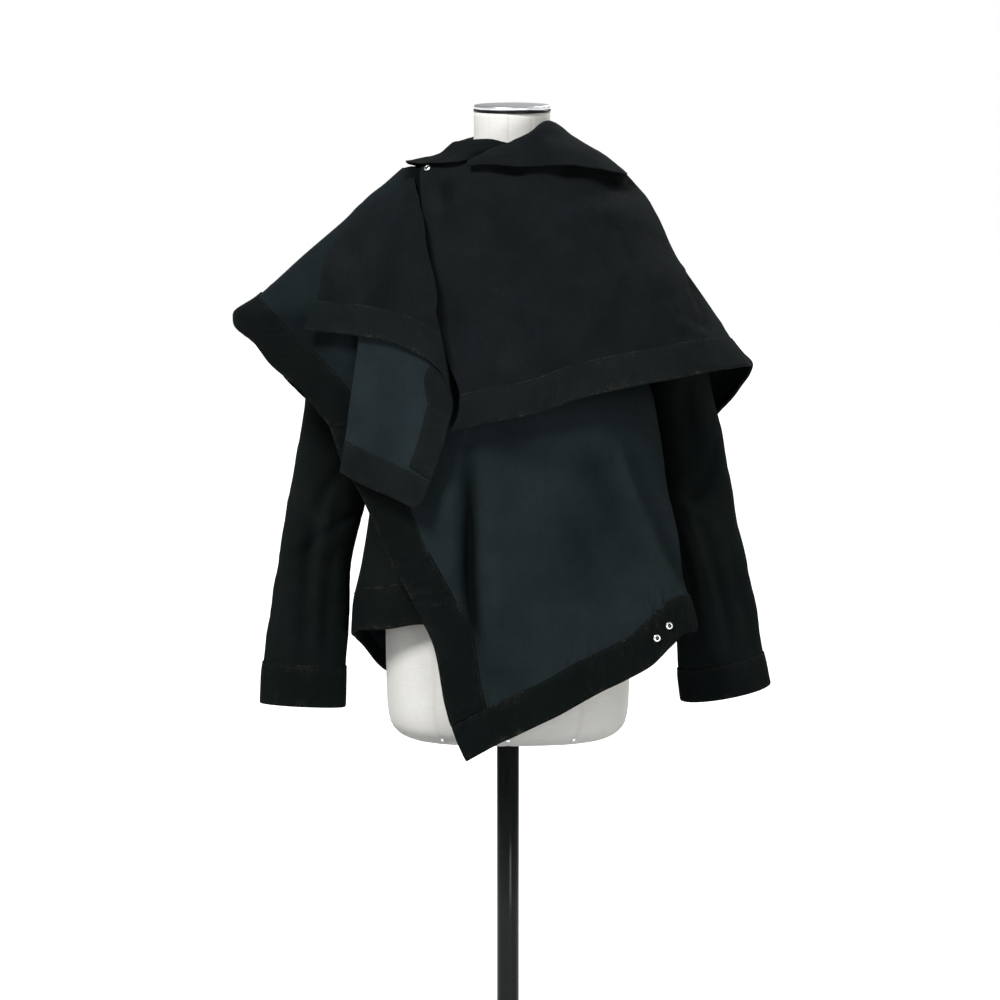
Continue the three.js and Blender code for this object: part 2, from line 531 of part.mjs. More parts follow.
const SLIVER = 0.004;
const LEAST_SHARE = 0.022;
function mostOf(share) {
  let most = 0;
  for (let k = 0; k <= 40; k += 1) most = Math.max(most, share(k / 40));
  return most;
}

// The share of a panel's u or v at which it is a band's width away from its edge, at each place along it.
function bandShare(place, side, width, edgeEnd = 1) {
  const samples = 40;
  const steps = 160;
  const walk = (along, share) => {
    if (side === 'hem') return place(along, share);
    return side === 'left' ? place(share, along) : place(1 - share, along);
  };
  const edge = Array.from({ length: 81 }, (_, k) => walk((edgeEnd * k) / 80, 0));
  const shares = [];
  for (let k = 0; k <= samples; k += 1) {
    let share = LEAST_SHARE;
    let away = Math.min(...edge.map((other) => other.distanceTo(walk(k / samples, share))));
    while (away < width && share < 0.6) {
      share += 1 / steps;
      const point = walk(k / samples, share);
      away = Math.min(...edge.map((other) => other.distanceTo(point)));
    }
    shares.push(share);
  }
  return (along) => {
    const scaled = Math.min(1, Math.max(0, along)) * samples;
    const low = Math.min(samples - 1, Math.floor(scaled));
    return lerp(shares[low], shares[low + 1], scaled - low);
  };
}

// The grid of a band along a panel's hem. It keeps to the panel's own columns and rows as far as its width.
function hemBandGrid(place, width, [across, up]) {
  const share = bandShare(place, 'hem', width);
  const rows = Math.ceil(mostOf(share) * up);
  const map = (i, j) => [i / across, Math.min(j / up, share(i / across) - (rows - j) * SLIVER)];
  return { across, up: rows, map };
}

// The grid of a band along a panel's left or right edge, which starts above the band on the hem. It follows
// the edge up to edgeEnd, and goes on past that point until it has run out at topShare.
function sideBandGrid(place, side, width, hemWidth, [across, up], edgeEnd, topShare) {
  const share = bandShare(place, side, width, edgeEnd);
  const hemShare = bandShare(place, 'hem', hemWidth + 2 * SEAM_GAP);
  const columns = Math.ceil(mostOf(share) * across);
  const firstRow = Math.ceil(Math.max(hemShare(0), hemShare(1)) * up + 0.3);
  const rows = [];
  for (let k = firstRow; k <= Math.round(edgeEnd * up); k += 1) rows.push(k / up);
  if (topShare > edgeEnd) {
    for (const step of [0.2, 0.4, 0.6, 0.8, 1]) rows.push(lerp(edgeEnd, topShare, step));
  }
  const map = (i, j) => {
    const row = j === 0 ? hemShare(side === 'left' ? 0 : 1) : rows[j - 1];
    const inward = Math.min(i / across, share(row) - (columns - i) * SLIVER);
    const u = side === 'left' ? inward : 1 - inward;
    return [u, j === 0 ? hemShare(u) : row];
  };
  return { across: columns, up: rows.length, map };
}

const part = new THREE.Group();
part.name = 'denim_jacket';
const add = (mesh) => part.add(mesh);

// Jacket body
const body = ovalSurface(BODY_SECTIONS);
const wrap = ovalSurface(WRAP_SECTIONS);
const cape = ovalSurface(CAPE_SECTIONS);
const capeBehind = ovalSurface(CAPE_BACK_SECTIONS);

// How far an armhole opens in front of and behind the side at a height.
function armholeDepth(z) {
  const share = (z - ARMHOLE.z) / ARMHOLE.halfHeight;
  return Math.abs(share) >= 1 ? 0 : ARMHOLE.halfDepth * Math.sqrt(1 - share ** 2);
}

// The side edge of a panel: the side seam, the armhole and the shoulder seam. front is -1 behind the side.
function sideEdge(surface, side, front, hemZ, topZ) {
  const heights = [
    hemZ, 850, 940, 1030, 1100, 1128, 1134, 1150, 1175, 1208, 1241, 1266, 1282, 1288, 1304, 1320, topZ,
  ];
  const rows = heights.map((z) => {
    const depth = armholeDepth(z) + SEAM_GAP / 2;
    const turn = surface.turnAtY(-front * depth, z);
    return { angle: side === 'left' ? Math.PI - turn : turn, z };
  });
  if (side === 'right' && front < 0) {
    for (const row of rows) row.angle += FULL_TURN;
  }
  return edgeCurve(surface, rows);
}

const placeBack = (() => {
  const hem = [
    { angle: 1.002 * Math.PI, z: 757 }, { angle: 1.1 * Math.PI, z: 744 }, { angle: 1.22 * Math.PI, z: 705 },
    { angle: 1.36 * Math.PI, z: 674 }, { angle: 1.5 * Math.PI, z: 660 }, { angle: 1.64 * Math.PI, z: 674 },
    { angle: 1.78 * Math.PI, z: 706 }, { angle: 1.9 * Math.PI, z: 745 }, { angle: 1.998 * Math.PI, z: 768 },
  ];
  const top = [
    { angle: 1.002 * Math.PI, z: 1345 }, { angle: 1.25 * Math.PI, z: 1340 },
    { angle: 1.5 * Math.PI, z: 1338 }, { angle: 1.75 * Math.PI, z: 1340 },
    { angle: 1.998 * Math.PI, z: 1345 },
  ];
  return panelBetween(body, {
    left: sideEdge(body, 'left', -1, 757, 1345),
    right: sideEdge(body, 'right', -1, 768, 1345),
    hem: edgeCurve(body, hem),
    top: edgeCurve(body, top),
  });
})();

const placeInner = (() => {
  const innerEdge = [
    { x: -30, z: 766 }, { x: -26, z: 850 }, { x: -20, z: 1000 }, { x: -10, z: 1150 }, { x: -20, z: 1250 },
    { x: -34, z: 1328 },
  ];
  const hem = [
    { x: -196.5, z: 757 }, { x: -184, z: 763 }, { x: -152, z: 764 }, { x: -107, z: 770 }, { x: -60, z: 768 },
    { x: -30, z: 766 },
  ];
  const top = [{ x: -79.8, z: 1345 }, { x: -70, z: 1340 }, { x: -34, z: 1328 }];
  return panelBetween(body, {
    left: sideEdge(body, 'left', 1, 757, 1345),
    right: edgeCurve(body, onFront(body, innerEdge)),
    hem: edgeCurve(body, onFront(body, hem)),
    top: edgeCurve(body, onFront(body, top)),
  });
})();

// The wrap's hem goes on around the side to the seam. Its left edge turns at the wing's corner, this far up.
const WING_SHARE = 0.7;
const wrapSeamTurn = wrap.turnAtY(-SEAM_GAP / 2, WRAP_HEM_SIDE);
const placeWrap = (() => {
  const hem = onFront(wrap, WRAP_HEM).concat([
    { angle: 0.3 * wrapSeamTurn, z: 769 }, { angle: wrapSeamTurn, z: WRAP_HEM_SIDE },
  ]);
  const crossing = onFront(wrap, WRAP_EDGE);
  crossing[crossing.length - 1].angle = SIDE_LEFT;
  const ridge = [1150, 1178, 1230, 1281, 1318, 1338].map((z) => ({ angle: SIDE_LEFT, z }));
  const upToWing = edgeCurve(wrap, crossing);
  const upTheRidge = edgeCurve(wrap, ridge);
  const left = (share) => (share <= WING_SHARE
    ? upToWing(share / WING_SHARE)
    : upTheRidge((share - WING_SHARE) / (1 - WING_SHARE)));
  const top = [
    { angle: SIDE_LEFT, z: 1338 }, { angle: 0.75 * Math.PI, z: 1337 }, { angle: 0.5 * Math.PI, z: 1334 },
    { angle: 0.25 * Math.PI, z: 1338 }, { angle: SIDE_RIGHT, z: 1345 },
  ];
  return panelBetween(wrap, {
    left,
    right: sideEdge(wrap, 'right', 1, WRAP_HEM_SIDE, 1345),
    hem: edgeCurve(wrap, hem),
    top: edgeCurve(wrap, top),
  });
})();

const placeCapeFront = (() => {
  const hem = onFront(cape, CAPE_HEM);
  hem[hem.length - 1].angle = SIDE_RIGHT;
  const top = [
    { x: -106, z: 1342 }, { x: -70, z: 1347 }, { x: -40, z: 1346 }, { x: 0, z: 1346 }, { x: 60, z: 1348 },
    { x: 100, z: 1345 },
  ];
  const right = [1095, 1131, 1163, 1200, 1250, 1290, 1314, 1330].map((z) => ({ angle: SIDE_RIGHT, z }));
  return panelBetween(cape, {
    left: edgeCurve(cape, onFront(cape, CAPE_EDGE)),
    right: edgeCurve(cape, right),
    hem: edgeCurve(cape, hem),
    top: edgeCurve(cape, onFront(cape, top).concat([{ angle: SIDE_RIGHT, z: 1330 }])),
  });
})();

const placeCapeBack = (() => {
  const hem = [
    { angle: 1.0 * Math.PI, z: 1150 }, { angle: 1.03 * Math.PI, z: 1105 }, { angle: 1.08 * Math.PI, z: 1060 },
    { angle: 1.2 * Math.PI, z: 1018 }, { angle: 1.35 * Math.PI, z: 974 }, { angle: 1.5 * Math.PI, z: 945 },
    { angle: 1.66 * Math.PI, z: 966 }, { angle: 1.82 * Math.PI, z: 1000 }, { angle: 1.92 * Math.PI, z: 1026 },
    { angle: 1.97 * Math.PI, z: 1060 }, { angle: 2.0 * Math.PI, z: 1095 },
  ];
  const top = [
    { angle: 1.0 * Math.PI, z: 1338 }, { angle: 1.25 * Math.PI, z: 1342 }, { angle: 1.5 * Math.PI, z: 1345 },
    { angle: 1.75 * Math.PI, z: 1341 }, { angle: 2.0 * Math.PI, z: 1327 },
  ];
  const leftRows = [1150, 1178, 1230, 1281, 1318, 1338].map((z) => ({ angle: Math.PI, z }));
  const rightRows = [1095, 1131, 1163, 1200, 1250, 1290, 1314, 1330].map((z) => ({ angle: FULL_TURN, z }));
  return panelBetween(capeBehind, {
    left: edgeCurve(capeBehind, leftRows),
    right: edgeCurve(capeBehind, rightRows),
    hem: edgeCurve(capeBehind, hem),
    top: edgeCurve(capeBehind, top),
  });
})();

// Panels that meet along the shoulder ridge are each moved off it by half the seam gap.
const shiftedY = (place, shift) => (u, v) => {
  const point = place(u, v);
  point.y += shift;
  return point;
};
const frontOfRidge = (place) => shiftedY(place, -SEAM_GAP);
const behindRidge = (place) => shiftedY(place, SEAM_GAP);

// The flap and the tie end hang in front of the wrap, by lifts that grow from their left to their right.
const hungOver = (place, leftLift, rightLift, topLift = null) => (u, v) => {
  const point = place(u, v);
  const lift = lerp(leftLift, rightLift, u);
  point.y -= topLift === null ? lift : lerp(lift, topLift, Math.max(0, 2 * v - 1) ** 3);
  return point;
};
const placeTie = hungOver(panelBetween(wrap, {
  left: edgeCurve(wrap, onFront(wrap, TIE_LEFT, 26)),
  right: edgeCurve(wrap, onFront(wrap, TIE_RIGHT, 26)),
  hem: edgeCurve(wrap, onFront(wrap, TIE_HEM, 26)),
  top: edgeCurve(wrap, onFront(wrap, TIE_TOP, 26)),
}), 14, 28);
const placeFlap = hungOver(panelBetween(wrap, {
  left: edgeCurve(wrap, onFront(wrap, FLAP_LEFT, 26)),
  right: edgeCurve(wrap, onFront(wrap, FLAP_RIGHT, 26)),
  hem: edgeCurve(wrap, onFront(wrap, FLAP_HEM, 26)),
  top: edgeCurve(wrap, onFront(wrap, [{ x: -123, z: 1326 }, { x: -117, z: 1326 }], 26)),
}), 18, 33.8, 4);

// Sleeves
function placeSleeve(rows, side, from, to, ease) {
  const numbered = rows.map((row, i) => ({ ...row, at: i / (rows.length - 1) }));
  const read = tableReader(numbered, 'at');
  const outward = side === 'left' ? -1 : 1;
  return (u, v) => {
    const share = lerp(to, from, v);
    const row = read(share);
    const angle = u * FULL_TURN;
    const inner = new THREE.Vector3(row.innerX, row.y, row.innerZ);
    const outer = new THREE.Vector3(row.outerX, row.y, row.outerZ);
    const centre = inner.clone().lerp(outer, 0.5);
    const halfWidth = outer.clone().sub(inner).multiplyScalar(0.5);
    const ring = centre.addScaledVector(halfWidth, Math.cos(angle));
    ring.y += row.depth * Math.sin(angle);
    ring.z += row.dip * Math.sin(angle);
    const nearArmhole = 1 - smoothStep(share / ease);
    if (nearArmhole > 0) {
      const z = ARMHOLE.z + ARMHOLE.halfHeight * Math.cos(angle);
      const y = ARMHOLE.halfDepth * Math.sin(angle);
      const surface = side === 'right' && y < 0 ? wrap : body;
      const turn = surface.turnAtY(y, z);
      const rim = surface.point(outward < 0 ? Math.PI - turn : turn, z);
      rim.x += side === 'left' ? -1.5 : 3.7;
      ring.lerp(rim, nearArmhole);
    }
    return ring;
  };
}
const CUFF_START = 0.905;

// Collar: the roll's cross-section from its tucked inside, over the crest, to the edge of its fall.
function placeCollar(rows) {
  const numbered = rows.map((row, i) => ({ ...row, at: i / (rows.length - 1) }));
  const read = tableReader(numbered, 'at');
  return (u, v) => {
    const row = read(u);
    const facing = THREE.MathUtils.degToRad(row.facing);
    const early = row.sag - 0.36;
    const profile = new THREE.CatmullRomCurve3([
      new THREE.Vector3(-1.0 * row.round, 0, -row.tuck),
      new THREE.Vector3(-1.0 * row.round, 0, -1.1 * row.round),
      new THREE.Vector3(-0.66 * row.round, 0, -0.28 * row.round),
      new THREE.Vector3(0, 0, 0),
      new THREE.Vector3(0.72 * row.round, 0, -0.3 * row.round),
      new THREE.Vector3(lerp(1.1 * row.round, row.spread, 0.22), 0, -lerp(row.round, row.drop, early)),
      new THREE.Vector3(lerp(row.round, row.spread, 0.66), 0, -lerp(row.round, row.drop, row.sag)),
      new THREE.Vector3(row.spread, 0, -row.drop),
    ], false, 'centripetal');
    const local = profile.getPoint(v);
    return new THREE.Vector3(
      row.x + local.x * Math.cos(facing),
      row.y + local.x * Math.sin(facing),
      row.z + local.z,
    );
  };
}

// How finely each panel is divided, across and up
const GRID = {
  back: [18, 14], inner: [8, 14], wrap: [24, 20], capeFront: [18, 14], capeBack: [24, 10], tie: [8, 8],
  flap: [10, 10], sleeve: [16, 15], collar: [16, 8],
};
function addCloth(name, look, place, [across, up], more = {}) {
  add(clothSolid(name, look, place, { across, up, ...more }));
}

const wrapFront = frontOfRidge(placeWrap);
const capeFront = frontOfRidge(placeCapeFront);
const capeBack = behindRidge(placeCapeBack);
addCloth('back', LOOKS.denim, placeBack, GRID.back);
addCloth('front_inner', LOOKS.denim, placeInner, GRID.inner);
addCloth('front_wrap', LOOKS.denim_reverse, wrapFront, GRID.wrap, { creases: WRAP_CREASES });
addCloth('cape_front', LOOKS.denim, capeFront, GRID.capeFront, { creases: CAPE_CREASES });
addCloth('cape_back', LOOKS.denim, capeBack, GRID.capeBack);
addCloth('tie_end', LOOKS.denim_reverse, placeTie, GRID.tie);
addCloth('flap', LOOKS.denim, placeFlap, GRID.flap);
addCloth('collar_left', LOOKS.denim, placeCollar(COLLAR_LEFT), GRID.collar);
addCloth('collar_right', LOOKS.denim, placeCollar(COLLAR_RIGHT), GRID.collar);

// Sleeves and the cuffs around their ends
const cuffLift = CLOTH_WALL + SEAM_GAP + 0.5;
for (const [side, rows] of [['left', SLEEVE_LEFT], ['right', SLEEVE_RIGHT]]) {
  const sleeve = placeSleeve(rows, side, 0, CUFF_START + 0.01, 0.16);
  const cuff = placeSleeve(rows, side, CUFF_START, 1, 0.01);
  addCloth(`sleeve_${side}`, LOOKS.denim, sleeve, GRID.sleeve, { wrapsU: true });
  addCloth(`cuff_${side}`, LOOKS.denim_band, cuff, [GRID.sleeve[0], 1], { wrapsU: true, lift: cuffLift });
}

// Bands keep to their panels' columns or rows and lie on their outer faces
function addHemBand(name, place, width, grid, more = {}) {
  const options = { wall: BAND_WALL, lift: BAND_LIFT, ...hemBandGrid(place, width, grid), ...more };
  add(clothSolid(name, LOOKS.denim_band, place, options));
}
function addSideBand(name, place, side, widths, grid, ends, more = {}) {
  const edge = sideBandGrid(place, side, widths.own, widths.hem, grid, ends.edge, ends.band);
  add(clothSolid(name, LOOKS.denim_band, place, { wall: BAND_WALL, lift: BAND_LIFT, ...edge, ...more }));
}
addHemBand('band_wrap_hem', wrapFront, WRAP_HEM_BAND, GRID.wrap, { creases: WRAP_CREASES });
addSideBand(
  'band_wrap_edge',
  wrapFront,
  'left',
  { own: WRAP_EDGE_BAND, hem: WRAP_HEM_BAND },
  GRID.wrap,
  { edge: WING_SHARE, band: WING_SHARE + 0.05 },
  { creases: WRAP_CREASES, lift: BAND_LIFT + 1.2 },
);
addHemBand('band_cape_front', capeFront, CAPE_BAND, GRID.capeFront, { creases: CAPE_CREASES });
addHemBand('band_cape_back', capeBack, CAPE_BAND, GRID.capeBack, { lift: BAND_LIFT + 4.9 });
addHemBand('band_flap', placeFlap, FLAP_BAND, GRID.flap);
addHemBand('band_tie_hem', placeTie, TIE_HEM_BAND, GRID.tie);
addSideBand(
  'band_tie_edge',
  placeTie,
  'right',
  { own: TIE_EDGE_BAND, hem: TIE_HEM_BAND },
  GRID.tie,
  { edge: 1, band: 1 },
);
addHemBand('waistband_inner', placeInner, WAISTBAND, GRID.inner);
addHemBand('band_back', placeBack, BACK_BAND, GRID.back);

// Snap heads, placed on a panel where the front shows them
function nearestShares(place, x, z) {
  let best = { gap: Infinity, u: 0, v: 0 };
  const steps = 80;
  for (let i = 0; i <= steps; i += 1) {
    for (let j = 0; j <= steps; j += 1) {
      const point = place(i / steps, j / steps);
      const gap = Math.hypot(point.x - x, point.z - z) + (point.y > -10 ? 1000 : 0);
      if (gap < best.gap) best = { gap, u: i / steps, v: j / steps };
    }
  }
  return best;
}
function addSnap(name, surface, place, seen, above) {
  const spot = fromView(surface, seen, above);
  const shown = surface.point(spot.angle, spot.z);
  const { u, v } = nearestShares(place, shown.x, shown.z);
  const normal = normalAt(place, u, v);
  if (normal.y > 0) normal.negate();
  const origin = place(u, v).addScaledVector(normal, above);
  add(turnedSolid(name, LOOKS.snap_metal, [
    { radius: SNAP_RADIUS * 0.94, height: 0 },
    { radius: SNAP_RADIUS, height: 0.5 },
    { radius: SNAP_RADIUS, height: SNAP_HEIGHT * 0.6 },
    { radius: SNAP_RADIUS * 0.82, height: SNAP_HEIGHT * 0.92 },
    { radius: SNAP_RADIUS * 0.5, height: SNAP_HEIGHT },
  ], { origin, axis: normal, around: 20 }));
}
const onWrapBand = BAND_LIFT + BAND_WALL / 2 + SEAM_GAP - 0.1;
addSnap('snap_hem_high', wrap, wrapFront, { x: 202.5, z: 767.5 }, onWrapBand);
addSnap('snap_hem_low', wrap, wrapFront, { x: 187.5, z: 751 }, onWrapBand);
addSnap('snap_shoulder', cape, capeFront, { x: -98.5, z: 1337.5 }, CLOTH_WALL / 2 + SEAM_GAP + 0.4);

// Dress form
const form = ovalSurface(FORM_SECTIONS);
const formHeights = [
  622, 624, 629, 637, 648, 670, 710, 760, 810, 850, 885, 910, 935, 960, 985, 1010, 1045, 1080, 1115,
  1150, 1185, 1210, 1240, 1265, 1286, 1301, 1314, 1327, 1342, 1358, 1382, NECK_TOP,
];
const formAround = 28;
const formRings = formHeights.map((height) => Array.from({ length: formAround }, (_, i) => {
  const point = form.point((i / formAround) * FULL_TURN, height);
  point.z += point.y * NECK_TILT * smoothStep((height - 1360) / (NECK_TOP - 1360));
  return point;
}));
add(ringSolid('form_torso', LOOKS.linen, formRings));

const neckAxis = new THREE.Vector3(0, -NECK_TILT, 1).normalize();
const rimStart = new THREE.Vector3(NECK_X, 0, NECK_TOP).addScaledVector(neckAxis, SEAM_GAP);
const capStart = rimStart.clone().addScaledVector(neckAxis, NECK_RIM_HEIGHT + SEAM_GAP);
add(turnedSolid('neck_rim', LOOKS.black_paint, [
  { radius: 45, height: 0 }, { radius: 45.6, height: 0.6 }, { radius: 45.6, height: NECK_RIM_HEIGHT },
], { origin: rimStart, axis: neckAxis, around: 40, scaleX: 1.06 }));
add(turnedSolid('neck_cap', LOOKS.cap_metal, [
  { radius: 44.4, height: 0 }, { radius: 44.8, height: 0.8 }, { radius: 44.6, height: NECK_CAP_HEIGHT - 1.2 },
  { radius: 43.2, height: NECK_CAP_HEIGHT },
], { origin: capStart, axis: neckAxis, around: 40, scaleX: 1.06 }));

// Stand
add(turnedSolid('pole', LOOKS.black_paint, [
  { radius: POLE_RADIUS, height: 0 },
  { radius: POLE_RADIUS, height: FORM_BOTTOM - BASE_HEIGHT - 2 * SEAM_GAP },
], { origin: new THREE.Vector3(0, 0, BASE_HEIGHT + SEAM_GAP), around: 32 }));
add(turnedSolid('base', LOOKS.black_paint, [
  { radius: BASE_RADIUS - 1.5, height: 0 }, { radius: BASE_RADIUS, height: 1.5 },
  { radius: BASE_RADIUS, height: BASE_HEIGHT - 5 }, { radius: BASE_RADIUS - 2.5, height: BASE_HEIGHT - 1.2 },
  { radius: BASE_RADIUS - 7, height: BASE_HEIGHT },
], { origin: new THREE.Vector3(), around: 56 }));

export default part;
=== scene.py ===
"""A black denim wrap jacket with a shawl cape, on a limbless dress form and its stand.

The forms are worked out in millimetres, in the same frame as the solids, and turned into metres for Blender.
+X is the viewer's right, +Y points away from the viewer and +Z is up.
"""

import json
import math

import bpy
import numpy as np
from mathutils import Vector
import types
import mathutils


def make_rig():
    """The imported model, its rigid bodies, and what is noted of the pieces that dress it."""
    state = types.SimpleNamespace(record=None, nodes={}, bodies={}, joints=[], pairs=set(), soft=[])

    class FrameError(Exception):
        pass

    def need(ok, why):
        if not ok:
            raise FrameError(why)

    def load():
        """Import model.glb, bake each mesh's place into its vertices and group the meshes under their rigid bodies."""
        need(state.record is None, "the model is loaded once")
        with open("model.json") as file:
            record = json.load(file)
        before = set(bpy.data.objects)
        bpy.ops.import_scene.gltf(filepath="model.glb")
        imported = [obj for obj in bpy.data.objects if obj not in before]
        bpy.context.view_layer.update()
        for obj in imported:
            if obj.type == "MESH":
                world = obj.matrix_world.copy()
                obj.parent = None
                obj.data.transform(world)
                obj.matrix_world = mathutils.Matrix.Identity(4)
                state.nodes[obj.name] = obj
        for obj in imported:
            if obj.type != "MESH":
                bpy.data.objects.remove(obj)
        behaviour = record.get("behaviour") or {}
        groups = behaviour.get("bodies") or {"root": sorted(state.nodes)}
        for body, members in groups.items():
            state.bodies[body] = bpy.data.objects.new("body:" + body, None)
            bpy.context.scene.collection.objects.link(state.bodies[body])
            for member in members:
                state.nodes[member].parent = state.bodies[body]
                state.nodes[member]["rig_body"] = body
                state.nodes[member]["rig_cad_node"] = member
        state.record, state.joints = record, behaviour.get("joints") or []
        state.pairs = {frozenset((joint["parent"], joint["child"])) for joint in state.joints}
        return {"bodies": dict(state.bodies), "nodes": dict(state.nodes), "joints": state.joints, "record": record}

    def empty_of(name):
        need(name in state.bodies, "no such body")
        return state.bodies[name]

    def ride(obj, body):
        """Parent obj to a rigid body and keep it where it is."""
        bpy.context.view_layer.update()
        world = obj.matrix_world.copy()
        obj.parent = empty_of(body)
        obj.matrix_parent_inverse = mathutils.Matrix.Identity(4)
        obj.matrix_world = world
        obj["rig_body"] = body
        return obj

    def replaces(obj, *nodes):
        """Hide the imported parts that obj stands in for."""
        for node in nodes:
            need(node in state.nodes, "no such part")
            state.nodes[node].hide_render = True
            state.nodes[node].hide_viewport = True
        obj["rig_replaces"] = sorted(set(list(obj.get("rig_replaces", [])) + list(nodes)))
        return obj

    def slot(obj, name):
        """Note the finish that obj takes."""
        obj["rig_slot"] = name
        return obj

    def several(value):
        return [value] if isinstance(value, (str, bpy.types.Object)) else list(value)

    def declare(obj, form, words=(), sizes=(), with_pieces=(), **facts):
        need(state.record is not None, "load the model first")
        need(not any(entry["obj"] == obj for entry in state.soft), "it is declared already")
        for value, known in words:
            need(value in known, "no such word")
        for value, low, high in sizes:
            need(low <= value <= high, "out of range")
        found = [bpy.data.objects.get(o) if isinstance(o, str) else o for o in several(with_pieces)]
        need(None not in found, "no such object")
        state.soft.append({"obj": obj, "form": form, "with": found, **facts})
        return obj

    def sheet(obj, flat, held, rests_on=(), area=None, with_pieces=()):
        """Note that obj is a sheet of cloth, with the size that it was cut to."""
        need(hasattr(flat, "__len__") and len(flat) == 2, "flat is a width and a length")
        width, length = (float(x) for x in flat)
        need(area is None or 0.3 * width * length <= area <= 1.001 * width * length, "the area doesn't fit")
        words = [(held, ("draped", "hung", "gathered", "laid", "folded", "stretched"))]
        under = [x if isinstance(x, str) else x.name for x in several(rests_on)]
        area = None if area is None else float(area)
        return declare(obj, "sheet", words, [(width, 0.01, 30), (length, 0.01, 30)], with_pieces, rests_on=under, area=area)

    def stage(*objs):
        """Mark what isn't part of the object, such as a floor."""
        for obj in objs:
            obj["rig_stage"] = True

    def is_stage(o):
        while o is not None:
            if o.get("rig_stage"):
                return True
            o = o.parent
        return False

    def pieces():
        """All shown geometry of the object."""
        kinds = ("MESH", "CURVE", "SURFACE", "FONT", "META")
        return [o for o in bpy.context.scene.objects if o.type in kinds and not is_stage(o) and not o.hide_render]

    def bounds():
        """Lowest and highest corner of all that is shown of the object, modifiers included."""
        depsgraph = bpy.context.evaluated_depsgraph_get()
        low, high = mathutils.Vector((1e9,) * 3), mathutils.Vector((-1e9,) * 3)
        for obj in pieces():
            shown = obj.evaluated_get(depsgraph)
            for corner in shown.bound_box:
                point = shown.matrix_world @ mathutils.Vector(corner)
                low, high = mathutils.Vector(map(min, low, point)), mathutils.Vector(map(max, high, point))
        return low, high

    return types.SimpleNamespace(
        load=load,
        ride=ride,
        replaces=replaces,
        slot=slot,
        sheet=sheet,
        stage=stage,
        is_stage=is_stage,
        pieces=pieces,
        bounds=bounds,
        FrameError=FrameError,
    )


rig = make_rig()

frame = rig.load()
cad_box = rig.bounds()

MM = 0.001

# Cloth thickness, and the width of each sewn band
CLOTH_WALL = 2.0
WRAP_HEM_BAND = 45
WRAP_EDGE_BAND = 47
CAPE_BAND = 41
FLAP_BAND = 37
TIE_HEM_BAND = 38
TIE_EDGE_BAND = 30
WAISTBAND = 52
BACK_BAND = 45

# Weave
TWILL_PITCH = 0.85

# Stitches
STITCH_LENGTH = 2.6
STITCH_PITCH = 3.3
STITCH_RADIUS = 0.32
STITCH_INSET = 2.6

# Where the front outlines were read from
VIEW_DISTANCE = 5000
VIEW_ELEVATION = 3.5
VIEW_CENTRE_X = -10
VIEW_CENTRE_Z = 925
LENS = 144
SENSOR = 36

# Stand
POLE_RADIUS = 14
BASE_RADIUS = 170
BASE_HEIGHT = 12
EDGE_ROUND = 0.8
FORM_BOTTOM = 622
NECK_TILT = 0.105
NECK_TOP = 1408.5
NECK_X = 5

SIDE_LEFT = math.pi
SIDE_RIGHT = 0.0
FULL_TURN = 2 * math.pi

# Horizontal sections: half-widths left and right of x = 0, the line y where the section is widest, the depth
# from that line to the front and to the back, and the power of the oval.
SECTION_COLUMNS = ("z", "left", "right", "line", "front", "back", "power")
BODY_SECTIONS = [
    (640, 197, 176, 0, 124, 138, 2.5),
    (700, 196, 177, 0, 124, 136, 2.5),
    (757, 194.5, 178, 0, 122, 133, 2.5),
    (800, 191.5, 178, 0, 120, 129, 2.5),
    (850, 181.5, 176, 0, 114, 124, 2.5),
    (904, 173, 172, 0, 110, 118, 2.5),
    (1000, 163, 163, 0, 110, 114, 2.4),
    (1080, 154, 157, 0, 119, 116, 2.4),
    (1150, 158, 160, 0, 129, 121, 2.4),
    (1210, 162, 162, 0, 118, 120, 2.4),
    (1260, 165, 165, 0, 98, 110, 2.4),
    (1288, 166, 166, 0, 80, 96, 2.3),
    (1304, 155, 155, 0, 72, 88, 2.2),
    (1318, 129, 129, 0, 66, 80, 2.1),
    (1332, 100, 100, 0, 62, 74, 2.0),
    (1345, 80, 80, 0, 60, 70, 2.0),
]
WRAP_SECTIONS = [
    (590, 240, 226, -90, 57, 140, 2.2),
    (700, 240, 229, -88, 56, 140, 2.2),
    (769, 240, 231, -84, 58, 138, 2.2),
    (807, 250, 225, -80, 60, 134, 2.2),
    (852, 262, 214, -74, 66, 128, 2.2),
    (905, 280, 204, -63, 77, 112, 2.2),
    (962, 302, 193, -50, 91, 96, 2.2),
    (1050, 333, 181, -20, 121, 60, 2.2),
    (1110, 341, 163, 0, 141, 60, 2.2),
    (1156, 341, 162, 0, 140, 60, 2.2),
    (1178, 312, 163, 0, 137, 60, 2.2),
    (1230, 254, 165, 0, 126, 60, 2.2),
    (1281, 195, 169, 0, 108, 60, 2.2),
    (1288, 189, 167, 0, 104, 60, 2.2),
    (1304, 172, 157, 0, 96, 60, 2.1),
    (1318, 154, 132, 0, 89, 60, 2.1),
    (1332, 138, 104, 0, 82, 60, 2.1),
    (1346, 120, 82, 0, 76, 60, 2.1),
]
